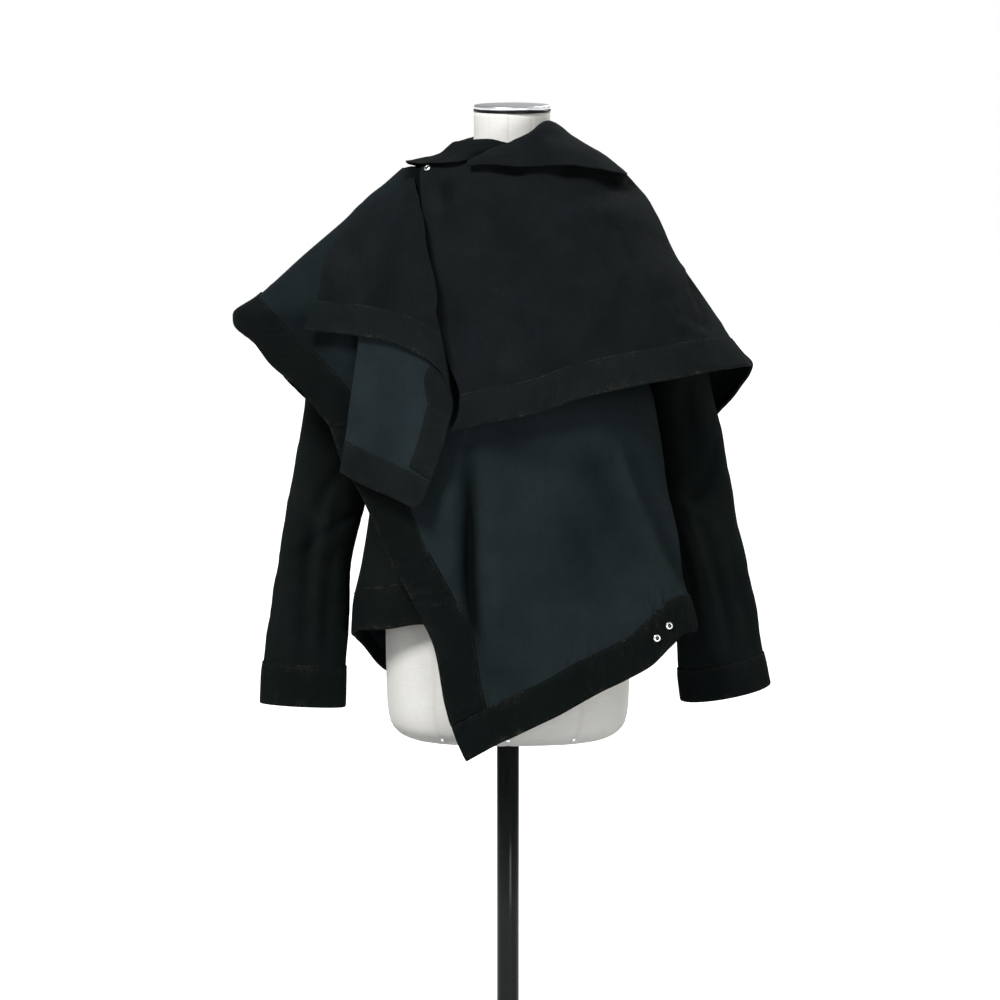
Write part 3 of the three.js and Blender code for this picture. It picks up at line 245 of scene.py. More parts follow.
CAPE_SECTIONS = [
    (930, 350, 318, 0, 168, 150, 2.2),
    (1011, 350, 318, 0, 166, 150, 2.2),
    (1060, 350, 312, 0, 163, 149, 2.2),
    (1093, 350, 304, 0, 160, 148, 2.2),
    (1110, 350, 290, 0, 158, 148, 2.2),
    (1131, 350, 274, 0, 156, 147, 2.2),
    (1156, 348, 258, 0, 153, 146, 2.2),
    (1178, 315, 243, 0, 150, 144, 2.2),
    (1230, 254, 208, 0, 140, 136, 2.2),
    (1281, 195, 184, 0, 123, 122, 2.2),
    (1304, 172, 170, 0, 112, 112, 2.1),
    (1318, 154, 158, 0, 105, 103, 2.1),
    (1332, 138, 145, 0, 97, 93, 2.1),
    (1352, 113, 118, 0, 86, 80, 2.1),
]
CAPE_BACK_SECTIONS = [
    (930, 240, 240, 0, 150, 148, 2.6),
    (1000, 246, 252, 0, 150, 148, 2.6),
    (1034, 254, 269, 0, 150, 148, 2.6),
    (1060, 271, 287, 0, 150, 148, 2.5),
    (1094, 294.5, 304, 0, 150, 148, 2.4),
    (1110, 306, 290, 0, 150, 148, 2.35),
    (1131, 321, 274, 0, 150, 147, 2.3),
    (1156, 341, 258, 0, 153, 146, 2.2),
    (1178, 312, 243, 0, 150, 144, 2.2),
    *CAPE_SECTIONS[-6:],
]
FORM_SECTIONS = [
    (622, 70, 70, 0, 45, 48, 2.3),
    (624, 105, 105, 0, 70, 75, 2.3),
    (629, 126, 126, 0, 85, 92, 2.3),
    (637, 139, 139, 0, 95, 103, 2.3),
    (648, 147, 147, 0, 100, 110, 2.3),
    (670, 151, 151, 0, 104, 114, 2.3),
    (760, 153, 153, 0, 105, 118, 2.3),
    (850, 141, 141, 0, 98, 108, 2.3),
    (910, 122, 122, 0, 90, 97, 2.3),
    (960, 112, 112, 0, 86, 92, 2.3),
    (1010, 117, 117, 0, 89, 95, 2.3),
    (1080, 132, 132, 0, 104, 103, 2.3),
    (1150, 142, 142, 0, 115, 109, 2.3),
    (1210, 149, 149, 0, 104, 108, 2.3),
    (1260, 154, 154, 0, 83, 96, 2.3),
    (1286, 155, 155, 0, 64, 80, 2.2),
    (1301, 144, 146, 0, 56, 72, 2.1),
    (1314, 116, 120, 0, 51, 66, 2.0),
    (1327, 84, 92, 0, 48, 60, 2.0),
    (1342, 60, 70, 0, 46, 54, 2.0),
    (1358, 47, 57, 0, 45, 49, 2.0),
    (1382, 42.5, 52.5, 0, 44, 46, 2.0),
    (NECK_TOP, 42.5, 52.5, 0, 44, 45, 2.0),
]

# Outlines as the front shows them: x and z
WRAP_EDGE = [
    (-53, 597), (-65, 624), (-78.5, 669), (-90.5, 737), (-108, 776), (-125, 810), (-148, 850), (-163, 887),
    (-187, 939), (-206, 971), (-221, 1015), (-234, 1032), (-260, 1065), (-294, 1094), (-315, 1121),
    (-340, 1150),
]
WRAP_HEM = [
    (-53, 597), (-35, 607), (15, 632), (65, 656), (115, 684), (152, 702), (180, 718), (206, 744),
    (224, 760),
]
WRAP_HEM_SIDE = 772
WING_SHARE = 0.7
WING_SPAN = (WING_SHARE, WING_SHARE + 0.05)
CAPE_EDGE = [
    (-72, 1011), (-63, 1029), (-60, 1056), (-72, 1090), (-84, 1127), (-93, 1175), (-106, 1250),
    (-108, 1304), (-106, 1342),
]
CAPE_HEM = [
    (-72, 1011), (-17, 1023), (44, 1036), (88, 1052), (152, 1067), (216, 1079), (254, 1087), (290, 1092),
    (306, 1095),
]
CAPE_TOP = [(-106, 1342), (-76, 1351), (-46, 1353), (0, 1349), (60, 1349), (100, 1345)]
FLAP_LEFT = [
    (-255, 1137), (-246, 1160), (-236, 1184), (-219, 1240), (-186, 1277), (-146, 1308), (-123, 1326),
]
FLAP_RIGHT = [
    (-71, 1058), (-74, 1080), (-80, 1115), (-88, 1175), (-102, 1250), (-110, 1296), (-115, 1315),
    (-117, 1326),
]
FLAP_HEM = [
    (-255, 1137), (-224, 1135), (-187, 1131), (-157, 1126), (-124, 1114), (-99, 1100), (-80, 1080),
    (-71, 1058),
]
FLAP_TOP = [(-123, 1326), (-117, 1326)]
TIE_LEFT = [
    (-210, 960), (-203, 999), (-195, 1057), (-187, 1118), (-186, 1142),
]
TIE_RIGHT = [
    (-116, 915), (-108, 922), (-95, 955), (-84, 984), (-75, 1019), (-69, 1045), (-74, 1072),
]
TIE_HEM = [
    (-210, 960), (-181, 944), (-150, 931), (-116, 915),
]
TIE_TOP = [
    (-186, 1142), (-150, 1132), (-110, 1110), (-74, 1072),
]
INNER_EDGE = [(-30, 766), (-26, 850), (-20, 1000), (-10, 1150), (-20, 1250), (-34, 1328)]
INNER_HEM = [(-196.5, 757), (-184, 763), (-152, 764), (-107, 770), (-60, 768), (-30, 766)]
INNER_TOP = [(-79.8, 1345), (-70, 1340), (-34, 1328)]

# Outlines by angle, in half turns, and z
BACK_HEM = [
    (1.002, 757), (1.1, 744), (1.22, 705), (1.36, 674), (1.5, 660), (1.64, 674), (1.78, 706), (1.9, 745),
    (1.998, 768),
]
BACK_TOP = [(1.002, 1345), (1.25, 1340), (1.5, 1338), (1.75, 1340), (1.998, 1345)]
WRAP_TOP = [(1.0, 1338), (0.75, 1337), (0.5, 1334), (0.25, 1338), (0.0, 1345)]
CAPE_BACK_HEM = [
    (1.0, 1150), (1.03, 1105), (1.08, 1060), (1.2, 1018), (1.35, 974), (1.5, 945), (1.66, 966), (1.82, 1000),
    (1.92, 1026), (1.97, 1060), (2.0, 1095),
]
CAPE_BACK_TOP = [(1.0, 1338), (1.25, 1342), (1.5, 1345), (1.75, 1341), (2.0, 1327)]
LEFT_RIDGE = (1150, 1178, 1230, 1281, 1318, 1338)
RIGHT_RIDGE = (1095, 1131, 1163, 1200, 1250, 1290, 1314, 1330)

# Sleeve sections from the armhole down: inner and outer points, the centre line's y, the half-depth and how
# far the front of the section dips below its middle
SLEEVE_COLUMNS = ("share", "inner_x", "inner_z", "outer_x", "outer_z", "y", "depth", "dip")
SLEEVE_LEFT = [
    (-160, 1128, -167, 1288, 0, 48, 0),
    (-166, 1106, -195, 1250, 4, 52, 0),
    (-169, 1076, -222, 1186, 8, 51, 0),
    (-172, 1040, -243, 1112, 11, 48, 0),
    (-173, 996, -257, 1022, 12, 44, 0),
    (-177, 936, -271.5, 945, 12, 40, 0),
    (-185.5, 893, -280, 890, 11, 37, 0),
    (-198, 845, -288.5, 840, 10, 33, 0),
    (-200, 790, -298, 785, 8, 30, 0),
    (-204, 720, -305, 726, 4, 28, 0),
    (-206.5, 665, -309, 670, 2, 27, 0),
]
SLEEVE_RIGHT = [
    (162, 1128, 168, 1288, 0, 48, 0),
    (174, 1108, 189, 1246, 6, 51, 0),
    (180, 1080, 217, 1182, 13, 49, 0),
    (184, 1046, 243, 1112, 19, 47, 0),
    (189, 1006, 263, 1023, 22, 44, 0),
    (193, 945, 278, 950, 22, 40, 0),
    (197, 900, 288, 895, 21, 37, 0),
    (202, 850, 300, 842, 19, 34, 0),
    (210, 790, 310.5, 792, 17, 31, 1),
    (214.5, 716, 319.5, 736, 13, 29, 4),
    (219, 673, 328, 693, 11, 28, 6),
]
ARMHOLE_Z = 1208
ARMHOLE_HALF_HEIGHT = 80
ARMHOLE_HALF_DEPTH = 48
CUFF_START = 0.905
SLEEVE_RUN = 610

# Collar sections: the crest's place, the way it faces in plan (degrees from +X), the roundness of the roll,
# how far out and down its fall reaches, how far down the inside is tucked, and the share of its drop that the
# fall has gone down at two thirds of its way out
COLLAR_COLUMNS = ("share", "x", "y", "z", "facing", "round", "spread", "drop", "tuck", "sag")
COLLAR_RIGHT = [
    (-49, -95.5, 1345, -100, 4, 6, 5.5, 4, 0.56),
    (-34, -97, 1351.5, -98, 4.5, 8, 10.5, 8, 0.56),
    (-14, -98, 1361.5, -94, 5.5, 11, 21, 16, 0.56),
    (8, -96, 1369.5, -88, 6, 12, 31, 20, 0.56),
    (30, -83, 1382, -72, 6.5, 22, 43, 26, 0.56),
    (49, -55, 1395, -48, 6.5, 52, 55, 30, 0.58),
    (63, -16, 1389, -14, 6, 85, 59, 20, 0.56),
    (63, 22, 1386, 22, 6, 78, 48, 20, 0.56),
    (44, 52, 1384, 58, 6, 44, 45, 26, 0.56),
    (5.6, 64, 1384, 90, 6, 36, 43, 26, 0.56),
]
COLLAR_LEFT = [
    (4.4, 64, 1384, 90, 6, 36, 43, 26, 0.56),
    (-32, 52, 1380, 122, 6, 46, 41, 26, 0.6),
    (-58, 24, 1373, 156, 6, 60, 31, 24, 0.72),
    (-67, -8, 1368, 188, 6, 60, 21, 20, 0.82),
    (-65, -38, 1368.5, 214, 6, 48, 25, 20, 0.76),
    (-50, -60, 1370, 240, 6, 34, 26, 20, 0.64),
    (-37, -67, 1371, 251, 5.5, 17, 23, 20, 0.56),
    (-22, -69, 1372, 262, 5, 7, 31, 20, 0.56),
    (6, -70, 1366, 270, 5, 5, 25, 18, 0.56),
]

# Folds: the two ends, the half-width across, the height (a trough is negative) and how far the line bows.
# Those of a panel are in x and z.
WRAP_FOLDS = [
    (134, 1000, 213, 812, 7, 4.2, 5),
    (152, 990, 226, 806, 11, -4.6, 5),
    (-48, 985, -39, 750, 10, -12, 4),
    (-76, 955, -73, 835, 13, 6.0, -4),
    (-20, 950, -14, 790, 14, 4.0, 3),
    (34, 965, 30, 780, 34, 3.6, 6),
    (78, 930, 120, 750, 28, -3, 6),
    (-120, 880, -64, 720, 22, 3, -6),
    (-290, 1156, -215, 1120, 26, -3, 3),
    (100, 985, 160, 850, 20, -2.4, 5),
    (205, 812, 222, 770, 6, 2.4, 2),
    (-70, 760, 30, 690, 18, -2, 4),
    (60, 800, 160, 730, 24, 2.2, -6),
    (-20, 1000, 120, 968, 20, -2.4, 5),
    (-300, 1130, -240, 1060, 16, 2.4, 3),
    (-214, 1080, -168, 1010, 12, -2.6, 3),
]
CAPE_FOLDS = [
    (-74, 1325, -70, 1268, 8, -4.2, 2),
    (58, 1340, 160, 1312, 12, -9, -3),
    (-22, 1342, 22, 1331, 8, -4.5, 0),
    (60, 1290, 176, 1268, 16, 3.2, -3),
    (60, 1240, 190, 1190, 34, 4, 8),
    (213, 1214, 236, 1148, 6, 4, 2),
    (224, 1208, 250, 1136, 9, -6.5, 3),
    (-20, 1220, 10, 1080, 40, 4, 6),
    (120, 1290, 205, 1180, 22, 3, 8),
    (-30, 1310, 44, 1220, 20, -2.4, 8),
    (254, 1150, 272, 1104, 8, 2.6, 2),
    (100, 1140, 190, 1100, 26, -2.6, 6),
    (-62, 1180, -38, 1090, 15, -2, 3),
    (205, 1148, 244, 1134, 8, 2.2, 1),
    (30, 1160, 60, 1080, 22, -2, 5),
]
CAPE_BACK_FOLDS = [
    (-200, 1240, -150, 1040, 30, 5, 10),
    (-90, 1290, -70, 1010, 26, -5, 8),
    (0, 1310, 14, 1000, 34, 4, 8),
    (96, 1290, 120, 1020, 26, -5, -8),
    (190, 1230, 180, 1060, 26, 4, 8),
    (-250, 1170, -220, 1080, 18, -3.5, 5),
    (230, 1170, 245, 1080, 16, -3, 4),
    (-40, 1300, 70, 1230, 18, -2.4, -6),
    (-160, 1210, -110, 1080, 9, 2.6, 4),
]
BACK_FOLDS = [
    (-140, 980, -70, 800, 24, 3.5, 8),
    (60, 1010, 120, 780, 26, -3.5, 8),
    (-30, 960, 10, 730, 22, -3, -8),
    (150, 900, 60, 720, 20, 2.6, 6),
    (-150, 840, -60, 720, 16, -2, 4),
]
FLAP_FOLDS = [
    (-130, 1310, -205, 1190, 15, 3.4, 6),
    (-122, 1305, -150, 1140, 18, -2.8, 5),
    (-112, 1280, -104, 1130, 16, 2.6, 3),
    (-222, 1215, -200, 1140, 11, -3.0, 3),
    (-168, 1290, -150, 1276, 6, 1.6, 1),
    (-184, 1240, -160, 1150, 12, -1.8, -3),
]
TIE_FOLDS = [
    (-176, 1110, -188, 970, 12, 2.2, 3),
    (-140, 1100, -150, 960, 18, -2.0, 4),
    (-100, 1060, -110, 960, 11, 1.6, 3),
]
INNER_FOLDS = [
    (-150, 960, -120, 800, 16, 2.8, 4),
    (-90, 960, -80, 800, 18, -2.8, 4),
]

# Sleeve folds: angle in turns and distance down from the armhole for both ends, half-width, height and bow.
# A quarter turn is the back, three quarters the front and a half the side towards the body.
SLEEVE_LEFT_FOLDS = [
    (0.66, 40, 0.80, 190, 16, 4.0, 8),
    (0.86, 60, 0.74, 260, 15, -3.4, 8),
    (0.60, 250, 0.80, 330, 11, -3.6, 6),
    (0.92, 300, 0.70, 370, 10, 3.2, 5),
    (0.58, 340, 0.84, 410, 10, -2.8, 5),
    (0.73, 300, 0.71, 545, 7, 3.2, 3),
    (0.79, 320, 0.76, 550, 9, -3.2, 4),
    (0.66, 400, 0.67, 545, 8, -2.6, 3),
    (0.87, 420, 0.86, 540, 9, 2.4, 3),
    (0.12, 60, 0.30, 220, 16, 3.6, 8),
    (0.38, 90, 0.22, 280, 14, -3.4, 8),
    (0.06, 280, 0.36, 350, 11, -3.2, 6),
    (0.40, 330, 0.12, 410, 11, 2.8, 6),
    (0.20, 400, 0.26, 530, 13, -2.2, 4),
]
SLEEVE_RIGHT_FOLDS = [
    (0.84, 50, 0.70, 210, 16, 4.0, 8),
    (0.64, 70, 0.78, 270, 14, -3.2, 8),
    (0.90, 260, 0.68, 340, 11, -3.6, 6),
    (0.60, 320, 0.86, 390, 10, 3.0, 5),
    (0.690, 330, 0.770, 548, 5, 3.4, 3),
    (0.735, 320, 0.815, 548, 9, -3.6, 3),
    (0.62, 380, 0.66, 530, 9, -3.2, 4),
    (0.86, 420, 0.90, 540, 10, -2.4, 3),
    (0.36, 60, 0.18, 230, 16, 3.4, 8),
    (0.12, 90, 0.30, 290, 14, -3.2, 8),
    (0.40, 290, 0.10, 360, 11, -3.0, 6),
    (0.10, 340, 0.40, 410, 11, 2.6, 6),
    (0.28, 410, 0.22, 530, 13, -2.0, 4),
]


def smooth_step(share):
    t = np.clip(share, 0, 1)
    return t * t * (3 - 2 * t)


def signed_power(value, exponent):
    return np.sign(value) * np.abs(value) ** exponent


def lerp(start, end, share):
    return start + (end - start) * share


def table_reader(names, rows):
    """Returns a function that reads a table's columns at values of its first one, without overshoot."""
    table = np.array(rows, float)
    keys = table[:, 0]
    values = table[:, 1:]
    steps = np.diff(keys)
    secants = np.diff(values, axis=0) / steps[:, None]
    slopes = np.zeros_like(values)
    slopes[0] = secants[0]
    slopes[-1] = secants[-1]
    before = secants[:-1]
    after = secants[1:]
    narrow = steps[:-1, None]
    wide = steps[1:, None]
    turning = before * after <= 0
    low = np.where(turning, 1, before)
    high = np.where(turning, 1, after)
    mean = 3 * (wide + narrow) / ((2 * wide + narrow) / low + (wide + 2 * narrow) / high)
    slopes[1:-1] = np.where(turning, 0, mean)

    def read(value):
        inside = np.clip(np.asarray(value, float), keys[0], keys[-1])
        i = np.clip(np.searchsorted(keys, inside) - 1, 0, len(keys) - 2)
        step = steps[i][..., None]
        t = (inside - keys[i])[..., None] / step
        t2 = t * t
        t3 = t2 * t
        found = (2 * t3 - 3 * t2 + 1) * values[i] + (t3 - 2 * t2 + t) * slopes[i] * step
        found = found + (3 * t2 - 2 * t3) * values[i + 1] + (t3 - t2) * slopes[i + 1] * step
        return {name: found[..., k] for k, name in enumerate(names[1:])}

    return read


class OvalSurface:
    """A surface made of oval sections. Angles run from 0 at the right over the front to pi at the left."""

    def __init__(self, rows):
        self.read = table_reader(SECTION_COLUMNS, rows)

    def point(self, angle, z):
        angle, z = np.broadcast_arrays(np.asarray(angle, float), np.asarray(z, float))
        row = self.read(z)
        across = signed_power(np.cos(angle), 2 / row["power"])
        forward = signed_power(np.sin(angle), 2 / row["power"])
        half = np.where(across < 0, row["left"], row["right"])
        depth = np.where(forward > 0, row["front"], row["back"])
        return np.stack([half * across, row["line"] - depth * forward, z], axis=-1)

    def angle_at_x(self, x, z):
        row = self.read(z)
        share = np.clip(x / np.where(x < 0, row["left"], row["right"]), -1, 1)
        return np.arccos(signed_power(share, row["power"] / 2))

    def turn_at_y(self, y, z):
        """The angle past a side at which the section reaches the given y."""
        row = self.read(z)
        reach = y - row["line"]
        share = np.minimum(1, np.abs(reach) / np.where(reach < 0, row["front"], row["back"]))
        return np.sign(-reach) * np.arcsin(share ** (row["power"] / 2))


def edge_curve(surface, rows):
    """An edge through rows of angle and z, run through evenly by its length on the surface."""
    rows = np.array(rows, float)
    points = surface.point(rows[:, 0], rows[:, 1])
    gaps = np.maximum(1e-3, np.linalg.norm(np.diff(points, axis=0), axis=1))
    at = np.concatenate([[0], np.cumsum(gaps)])
    read = table_reader(("at", "angle", "z"), np.column_stack([at, rows]))
    return lambda share: read(np.asarray(share) * at[-1])


def from_view(surface, outline, ahead=0):
    """Turns an outline, as seen, into rows of angle and z of the surface."""
    seen = np.array(outline, float)
    slope = math.tan(math.radians(VIEW_ELEVATION))
    x = seen[:, 0]
    z = seen[:, 1]
    for _ in range(4):
        y = surface.point(surface.angle_at_x(x, z), z)[:, 1] - ahead
        scale = 1 + y / VIEW_DISTANCE
        x = VIEW_CENTRE_X + (seen[:, 0] - VIEW_CENTRE_X) * scale
        z = VIEW_CENTRE_Z + (seen[:, 1] - VIEW_CENTRE_Z) * scale - y * slope
    return np.column_stack([surface.angle_at_x(x, z), z])


def by_half_turns(rows):
    return np.array([(angle * math.pi, z) for angle, z in rows])


def up_the_side(angle, heights):
    return np.array([(angle, z) for z in heights], float)


def panel_between(surface, left, right, hem, top):
    """A panel filled in between four edges of a surface. It returns points for u across and v up."""
    hem_ends = hem(np.array([0.0, 1.0]))
    top_ends = top(np.array([0.0, 1.0]))

    def blend(name, u, v):
        sides = lerp(left(v)[name], right(v)[name], u)
        ends = lerp(hem(u)[name], top(u)[name], v)
        low = lerp(hem_ends[name][0], hem_ends[name][1], u)
        high = lerp(top_ends[name][0], top_ends[name][1], u)
        return sides + ends - lerp(low, high, v)

    return lambda u, v: surface.point(blend("angle", u, v), blend("z", u, v))


body = OvalSurface(BODY_SECTIONS)
wrap = OvalSurface(WRAP_SECTIONS)
cape = OvalSurface(CAPE_SECTIONS)
cape_behind = OvalSurface(CAPE_BACK_SECTIONS)


def side_edge(surface, side, front, hem_z, top_z):
    """A panel's side edge: side seam, armhole and shoulder seam. front is -1 behind the side."""
    heights = [850, 940, 1030, 1100, 1128, 1134, 1150, 1175, 1208, 1241, 1266, 1282, 1288, 1304, 1320]
    z = np.array([hem_z, *heights, top_z], float)
    share = np.clip((z - ARMHOLE_Z) / ARMHOLE_HALF_HEIGHT, -1, 1)
    depth = ARMHOLE_HALF_DEPTH * np.sqrt(1 - share**2) + 0.15
    turn = surface.turn_at_y(-front * depth, z)
    angle = math.pi - turn if side == "left" else turn
    if side == "right" and front < 0:
        angle = angle + FULL_TURN
    return edge_curve(surface, np.column_stack([angle, z]))


def make_back():
    return panel_between(
        body,
        side_edge(body, "left", -1, 757, 1345),
        side_edge(body, "right", -1, 768, 1345),
        edge_curve(body, by_half_turns(BACK_HEM)),
        edge_curve(body, by_half_turns(BACK_TOP)),
    )


def make_inner():
    return panel_between(
        body,
        side_edge(body, "left", 1, 757, 1345),
        edge_curve(body, from_view(body, INNER_EDGE)),
        edge_curve(body, from_view(body, INNER_HEM)),
        edge_curve(body, from_view(body, INNER_TOP)),
    )


def make_wrap():
    """The wrap's left edge runs up to the wing's corner and, from there, up the shoulder ridge."""
    seam_turn = float(wrap.turn_at_y(-0.15, WRAP_HEM_SIDE))
    hem = np.vstack([from_view(wrap, WRAP_HEM), [(0.3 * seam_turn, 769), (seam_turn, WRAP_HEM_SIDE)]])
    crossing = from_view(wrap, WRAP_EDGE)
    crossing[-1, 0] = SIDE_LEFT
    up_to_wing = edge_curve(wrap, crossing)
    up_ridge = edge_curve(wrap, up_the_side(SIDE_LEFT, LEFT_RIDGE))

    def left(share):
        share = np.asarray(share, float)
        low = up_to_wing(np.minimum(1, share / WING_SHARE))
        high = up_ridge(np.maximum(0, (share - WING_SHARE) / (1 - WING_SHARE)))
        return {name: np.where(share <= WING_SHARE, low[name], high[name]) for name in low}

    return panel_between(
        wrap,
        left,
        side_edge(wrap, "right", 1, WRAP_HEM_SIDE, 1345),
        edge_curve(wrap, hem),
        edge_curve(wrap, by_half_turns(WRAP_TOP)),
    )


def make_cape_front():
    hem = from_view(cape, CAPE_HEM)
    hem[-1, 0] = SIDE_RIGHT
    top = np.vstack([from_view(cape, CAPE_TOP), [(SIDE_RIGHT, 1330)]])
    return panel_between(
        cape,
        edge_curve(cape, from_view(cape, CAPE_EDGE)),
        edge_curve(cape, up_the_side(SIDE_RIGHT, RIGHT_RIDGE)),
        edge_curve(cape, hem),
        edge_curve(cape, top),
    )


def make_cape_back():
    return panel_between(
        cape_behind,
        edge_curve(cape_behind, up_the_side(math.pi, LEFT_RIDGE)),
        edge_curve(cape_behind, up_the_side(FULL_TURN, RIGHT_RIDGE)),
        edge_curve(cape_behind, by_half_turns(CAPE_BACK_HEM)),
        edge_curve(cape_behind, by_half_turns(CAPE_BACK_TOP)),
    )


def shifted_y(place, shift):
    return lambda u, v: place(u, v) + np.array([0, shift, 0])


def hung_over(place, left_lift, right_lift, top_lift=None):
    """A piece that hangs in front of the wrap, by lifts that grow from its left to its right."""

    def hung(u, v):
        points = place(u, v)
        lift = lerp(left_lift, right_lift, u)
        if top_lift is not None:
            lift = lerp(lift, top_lift, np.maximum(0, 2 * v - 1) ** 3)
        points[..., 1] -= lift
        return points

    return hung


def over_wrap(left, right, hem, top):
    edges = [edge_curve(wrap, from_view(wrap, rows, 26)) for rows in (left, right, hem, top)]
    return panel_between(wrap, *edges)


def make_sleeve(rows, side):
    """A sleeve by angle in turns and by share of its length, from the armhole down."""
    count = len(rows) - 1
    read = table_reader(SLEEVE_COLUMNS, [(i / count, *row) for i, row in enumerate(rows)])

    def place(turn, share, ease=0.16):
        row = read(share)
        angle = turn * FULL_TURN
        half_x = (row["outer_x"] - row["inner_x"]) / 2
        half_z = (row["outer_z"] - row["inner_z"]) / 2
        x = (row["outer_x"] + row["inner_x"]) / 2 + half_x * np.cos(angle)
        z = (row["outer_z"] + row["inner_z"]) / 2 + half_z * np.cos(angle)
        y = row["y"] + row["depth"] * np.sin(angle)
        z = z + row["dip"] * np.sin(angle)
        ring = np.stack([x, y, z], axis=-1)
        near = (1 - smooth_step(share / ease))[..., None]
        rim_z = ARMHOLE_Z + ARMHOLE_HALF_HEIGHT * np.cos(angle)
        rim_y = ARMHOLE_HALF_DEPTH * np.sin(angle)
        rim = body.point(*rim_angle(body, side, rim_y, rim_z))
        if side == "right":
            on_wrap = wrap.point(*rim_angle(wrap, side, rim_y, rim_z))
            rim = np.where((rim_y < 0)[..., None], on_wrap, rim)
        rim = rim + np.array([-1.5 if side == "left" else 3.7, 0, 0])
        return ring * (1 - near) + rim * near

    return place


def rim_angle(surface, side, y, z):
    turn = surface.turn_at_y(y, z)
    return (math.pi - turn if side == "left" else turn), z


# Uneven cloth


def waves(seed, count, shortest, longest):
    """A gentle unevenness of about 1 in height, from waves of mixed lengths and directions."""
    random = np.random.RandomState(seed)
    lengths = shortest * (longest / shortest) ** random.rand(count)
    turns = random.rand(count) * math.pi
    phases = random.rand(count) * FULL_TURN

    def height(a, b):
        total = 0
        for length, turn, phase in zip(lengths, turns, phases):
            total = total + np.sin((a * math.cos(turn) + b * math.sin(turn)) * FULL_TURN / length + phase)
        return total / math.sqrt(count)

    return height


def puckers(seed):
    """Short uneven ripples across a seam, which come and go along it. b is the distance from the seam."""
    random = np.random.RandomState(seed)
    rows = []
    for _ in range(7):
        length = 9 + 15 * random.rand()
        slant = 0.9 * (random.rand() - 0.5)
        rows.append((length, slant, FULL_TURN * random.rand()))
    patches = waves(seed + 3, 5, 45, 130)

    def height(a, b):
        total = 0
        for length, slant, phase in rows:
            total = total + np.sin((a + slant * b) * FULL_TURN / length + phase)
        return total / 2.2 * np.clip(0.55 + 0.6 * patches(a, 0 * a), 0.1, 1.4)

    return height


# Positive heights, on ridges, give a little rubbed wear. Negative heights, in troughs, give painted shade that darkens
# the colour in the creases.
def faded(height):
    return np.clip(np.where(height < 0, height / 12, height / 60), -1, 0.08)


def fold_height(folds, a, b, girth=None):
    """The height of all folds at a place. girth is the length around a tube, on which a wraps."""
    height = 0 * a
    for number, (from_a, from_b, to_a, to_b, width, tall, bow) in enumerate(folds):
        run_a = to_a - from_a
        run_b = to_b - from_b
        length = math.hypot(run_a, run_b)
        away_a = a - from_a
        if girth is not None:
            away_a = (away_a - run_a / 2 + girth / 2) % girth - girth / 2 + run_a / 2
        along = (away_a * run_a + (b - from_b) * run_b) / length**2
        across = (away_a * run_b - (b - from_b) * run_a) / length
        across = across - bow * np.sin(np.clip(along, 0, 1) * math.pi)
        across = across - 0.1 * width * np.sin(along * 9 + number)
        fade = smooth_step(along / 0.36 + 0.4) * smooth_step((1 - along) / 0.3 + 0.4)
        uneven = 1 + 0.22 * np.sin(along * 7 + 2 * number)
        height = height + tall * uneven * fade * np.exp(-((across / width) ** 2))
    return height


# Meshes


def grid_normals(points, outward=None, wraps=False):
    """Unit normals of a grid of points. outward is a point's direction that they should agree with."""
    if wraps:
        along_u = np.roll(points, -1, axis=1) - np.roll(points, 1, axis=1)
    else:
        along_u = np.gradient(points, axis=1)
    along_v = np.gradient(points, axis=0)
    normals = np.cross(along_u, along_v)
    normals /= np.linalg.norm(normals, axis=-1, keepdims=True) + 1e-12
    if outward is not None and (normals * outward).sum() < 0:
        normals = -normals
    return normals


def grid_lengths(points):
    """Lengths across and up a grid of points, measured along its rows and columns."""
    across = np.linalg.norm(np.diff(points, axis=1), axis=-1)
    up = np.linalg.norm(np.diff(points, axis=0), axis=-1)
    a = np.concatenate([np.zeros((points.shape[0], 1)), np.cumsum(across, axis=1)], axis=1)
    b = np.concatenate([np.zeros((1, points.shape[1])), np.cumsum(up, axis=0)], axis=0)
    return a - a.mean(axis=1, keepdims=True), b


def flat_cut(points, wraps=False):
    """Width, length and area, in metres, of the flat cloth under a grid of points, all round if it wraps."""
    if wraps:
        points = np.concatenate([points, points[:, :1]], axis=1)
    width = np.linalg.norm(np.diff(points, axis=1), axis=-1).sum(axis=1).max()
    length = np.linalg.norm(np.diff(points, axis=0), axis=-1).sum(axis=0).max()
    crossed = np.cross(points[1:, 1:] - points[:-1, :-1], points[1:, :-1] - points[:-1, 1:])
    area = np.linalg.norm(crossed, axis=-1).sum() / 2
    return width * MM, length * MM, min(area, width * length) * MM**2


def mesh_piece(name, vertices, faces, looks, face_looks=None, cloth=None, wear=None):
    """Makes an object from vertices in millimetres. cloth holds each vertex's place on the flat cloth."""
    mesh = bpy.data.meshes.new(name)
    mesh.from_pydata((vertices * MM).tolist(), [], [list(map(int, face)) for face in faces])
    for look in looks:
        mesh.materials.append(look)
    if face_looks is not None:
        mesh.polygons.foreach_set("material_index", np.asarray(face_looks, np.int32))
    mesh.polygons.foreach_set("use_smooth", np.ones(len(mesh.polygons), bool))
    if cloth is not None:
        layer = mesh.uv_layers.new(name="Cloth")
        corners = np.zeros(len(mesh.loops), np.int32)
        mesh.loops.foreach_get("vertex_index", corners)
        layer.data.foreach_set("uv", (cloth[corners] * MM).astype(np.float32).ravel())
    if wear is not None:
        attribute = mesh.attributes.new("wear", "FLOAT", "POINT")
        attribute.data.foreach_set("value", np.asarray(wear, np.float32))
    mesh.update()
    piece = bpy.data.objects.new(name, mesh)
    bpy.context.scene.collection.objects.link(piece)
    return piece


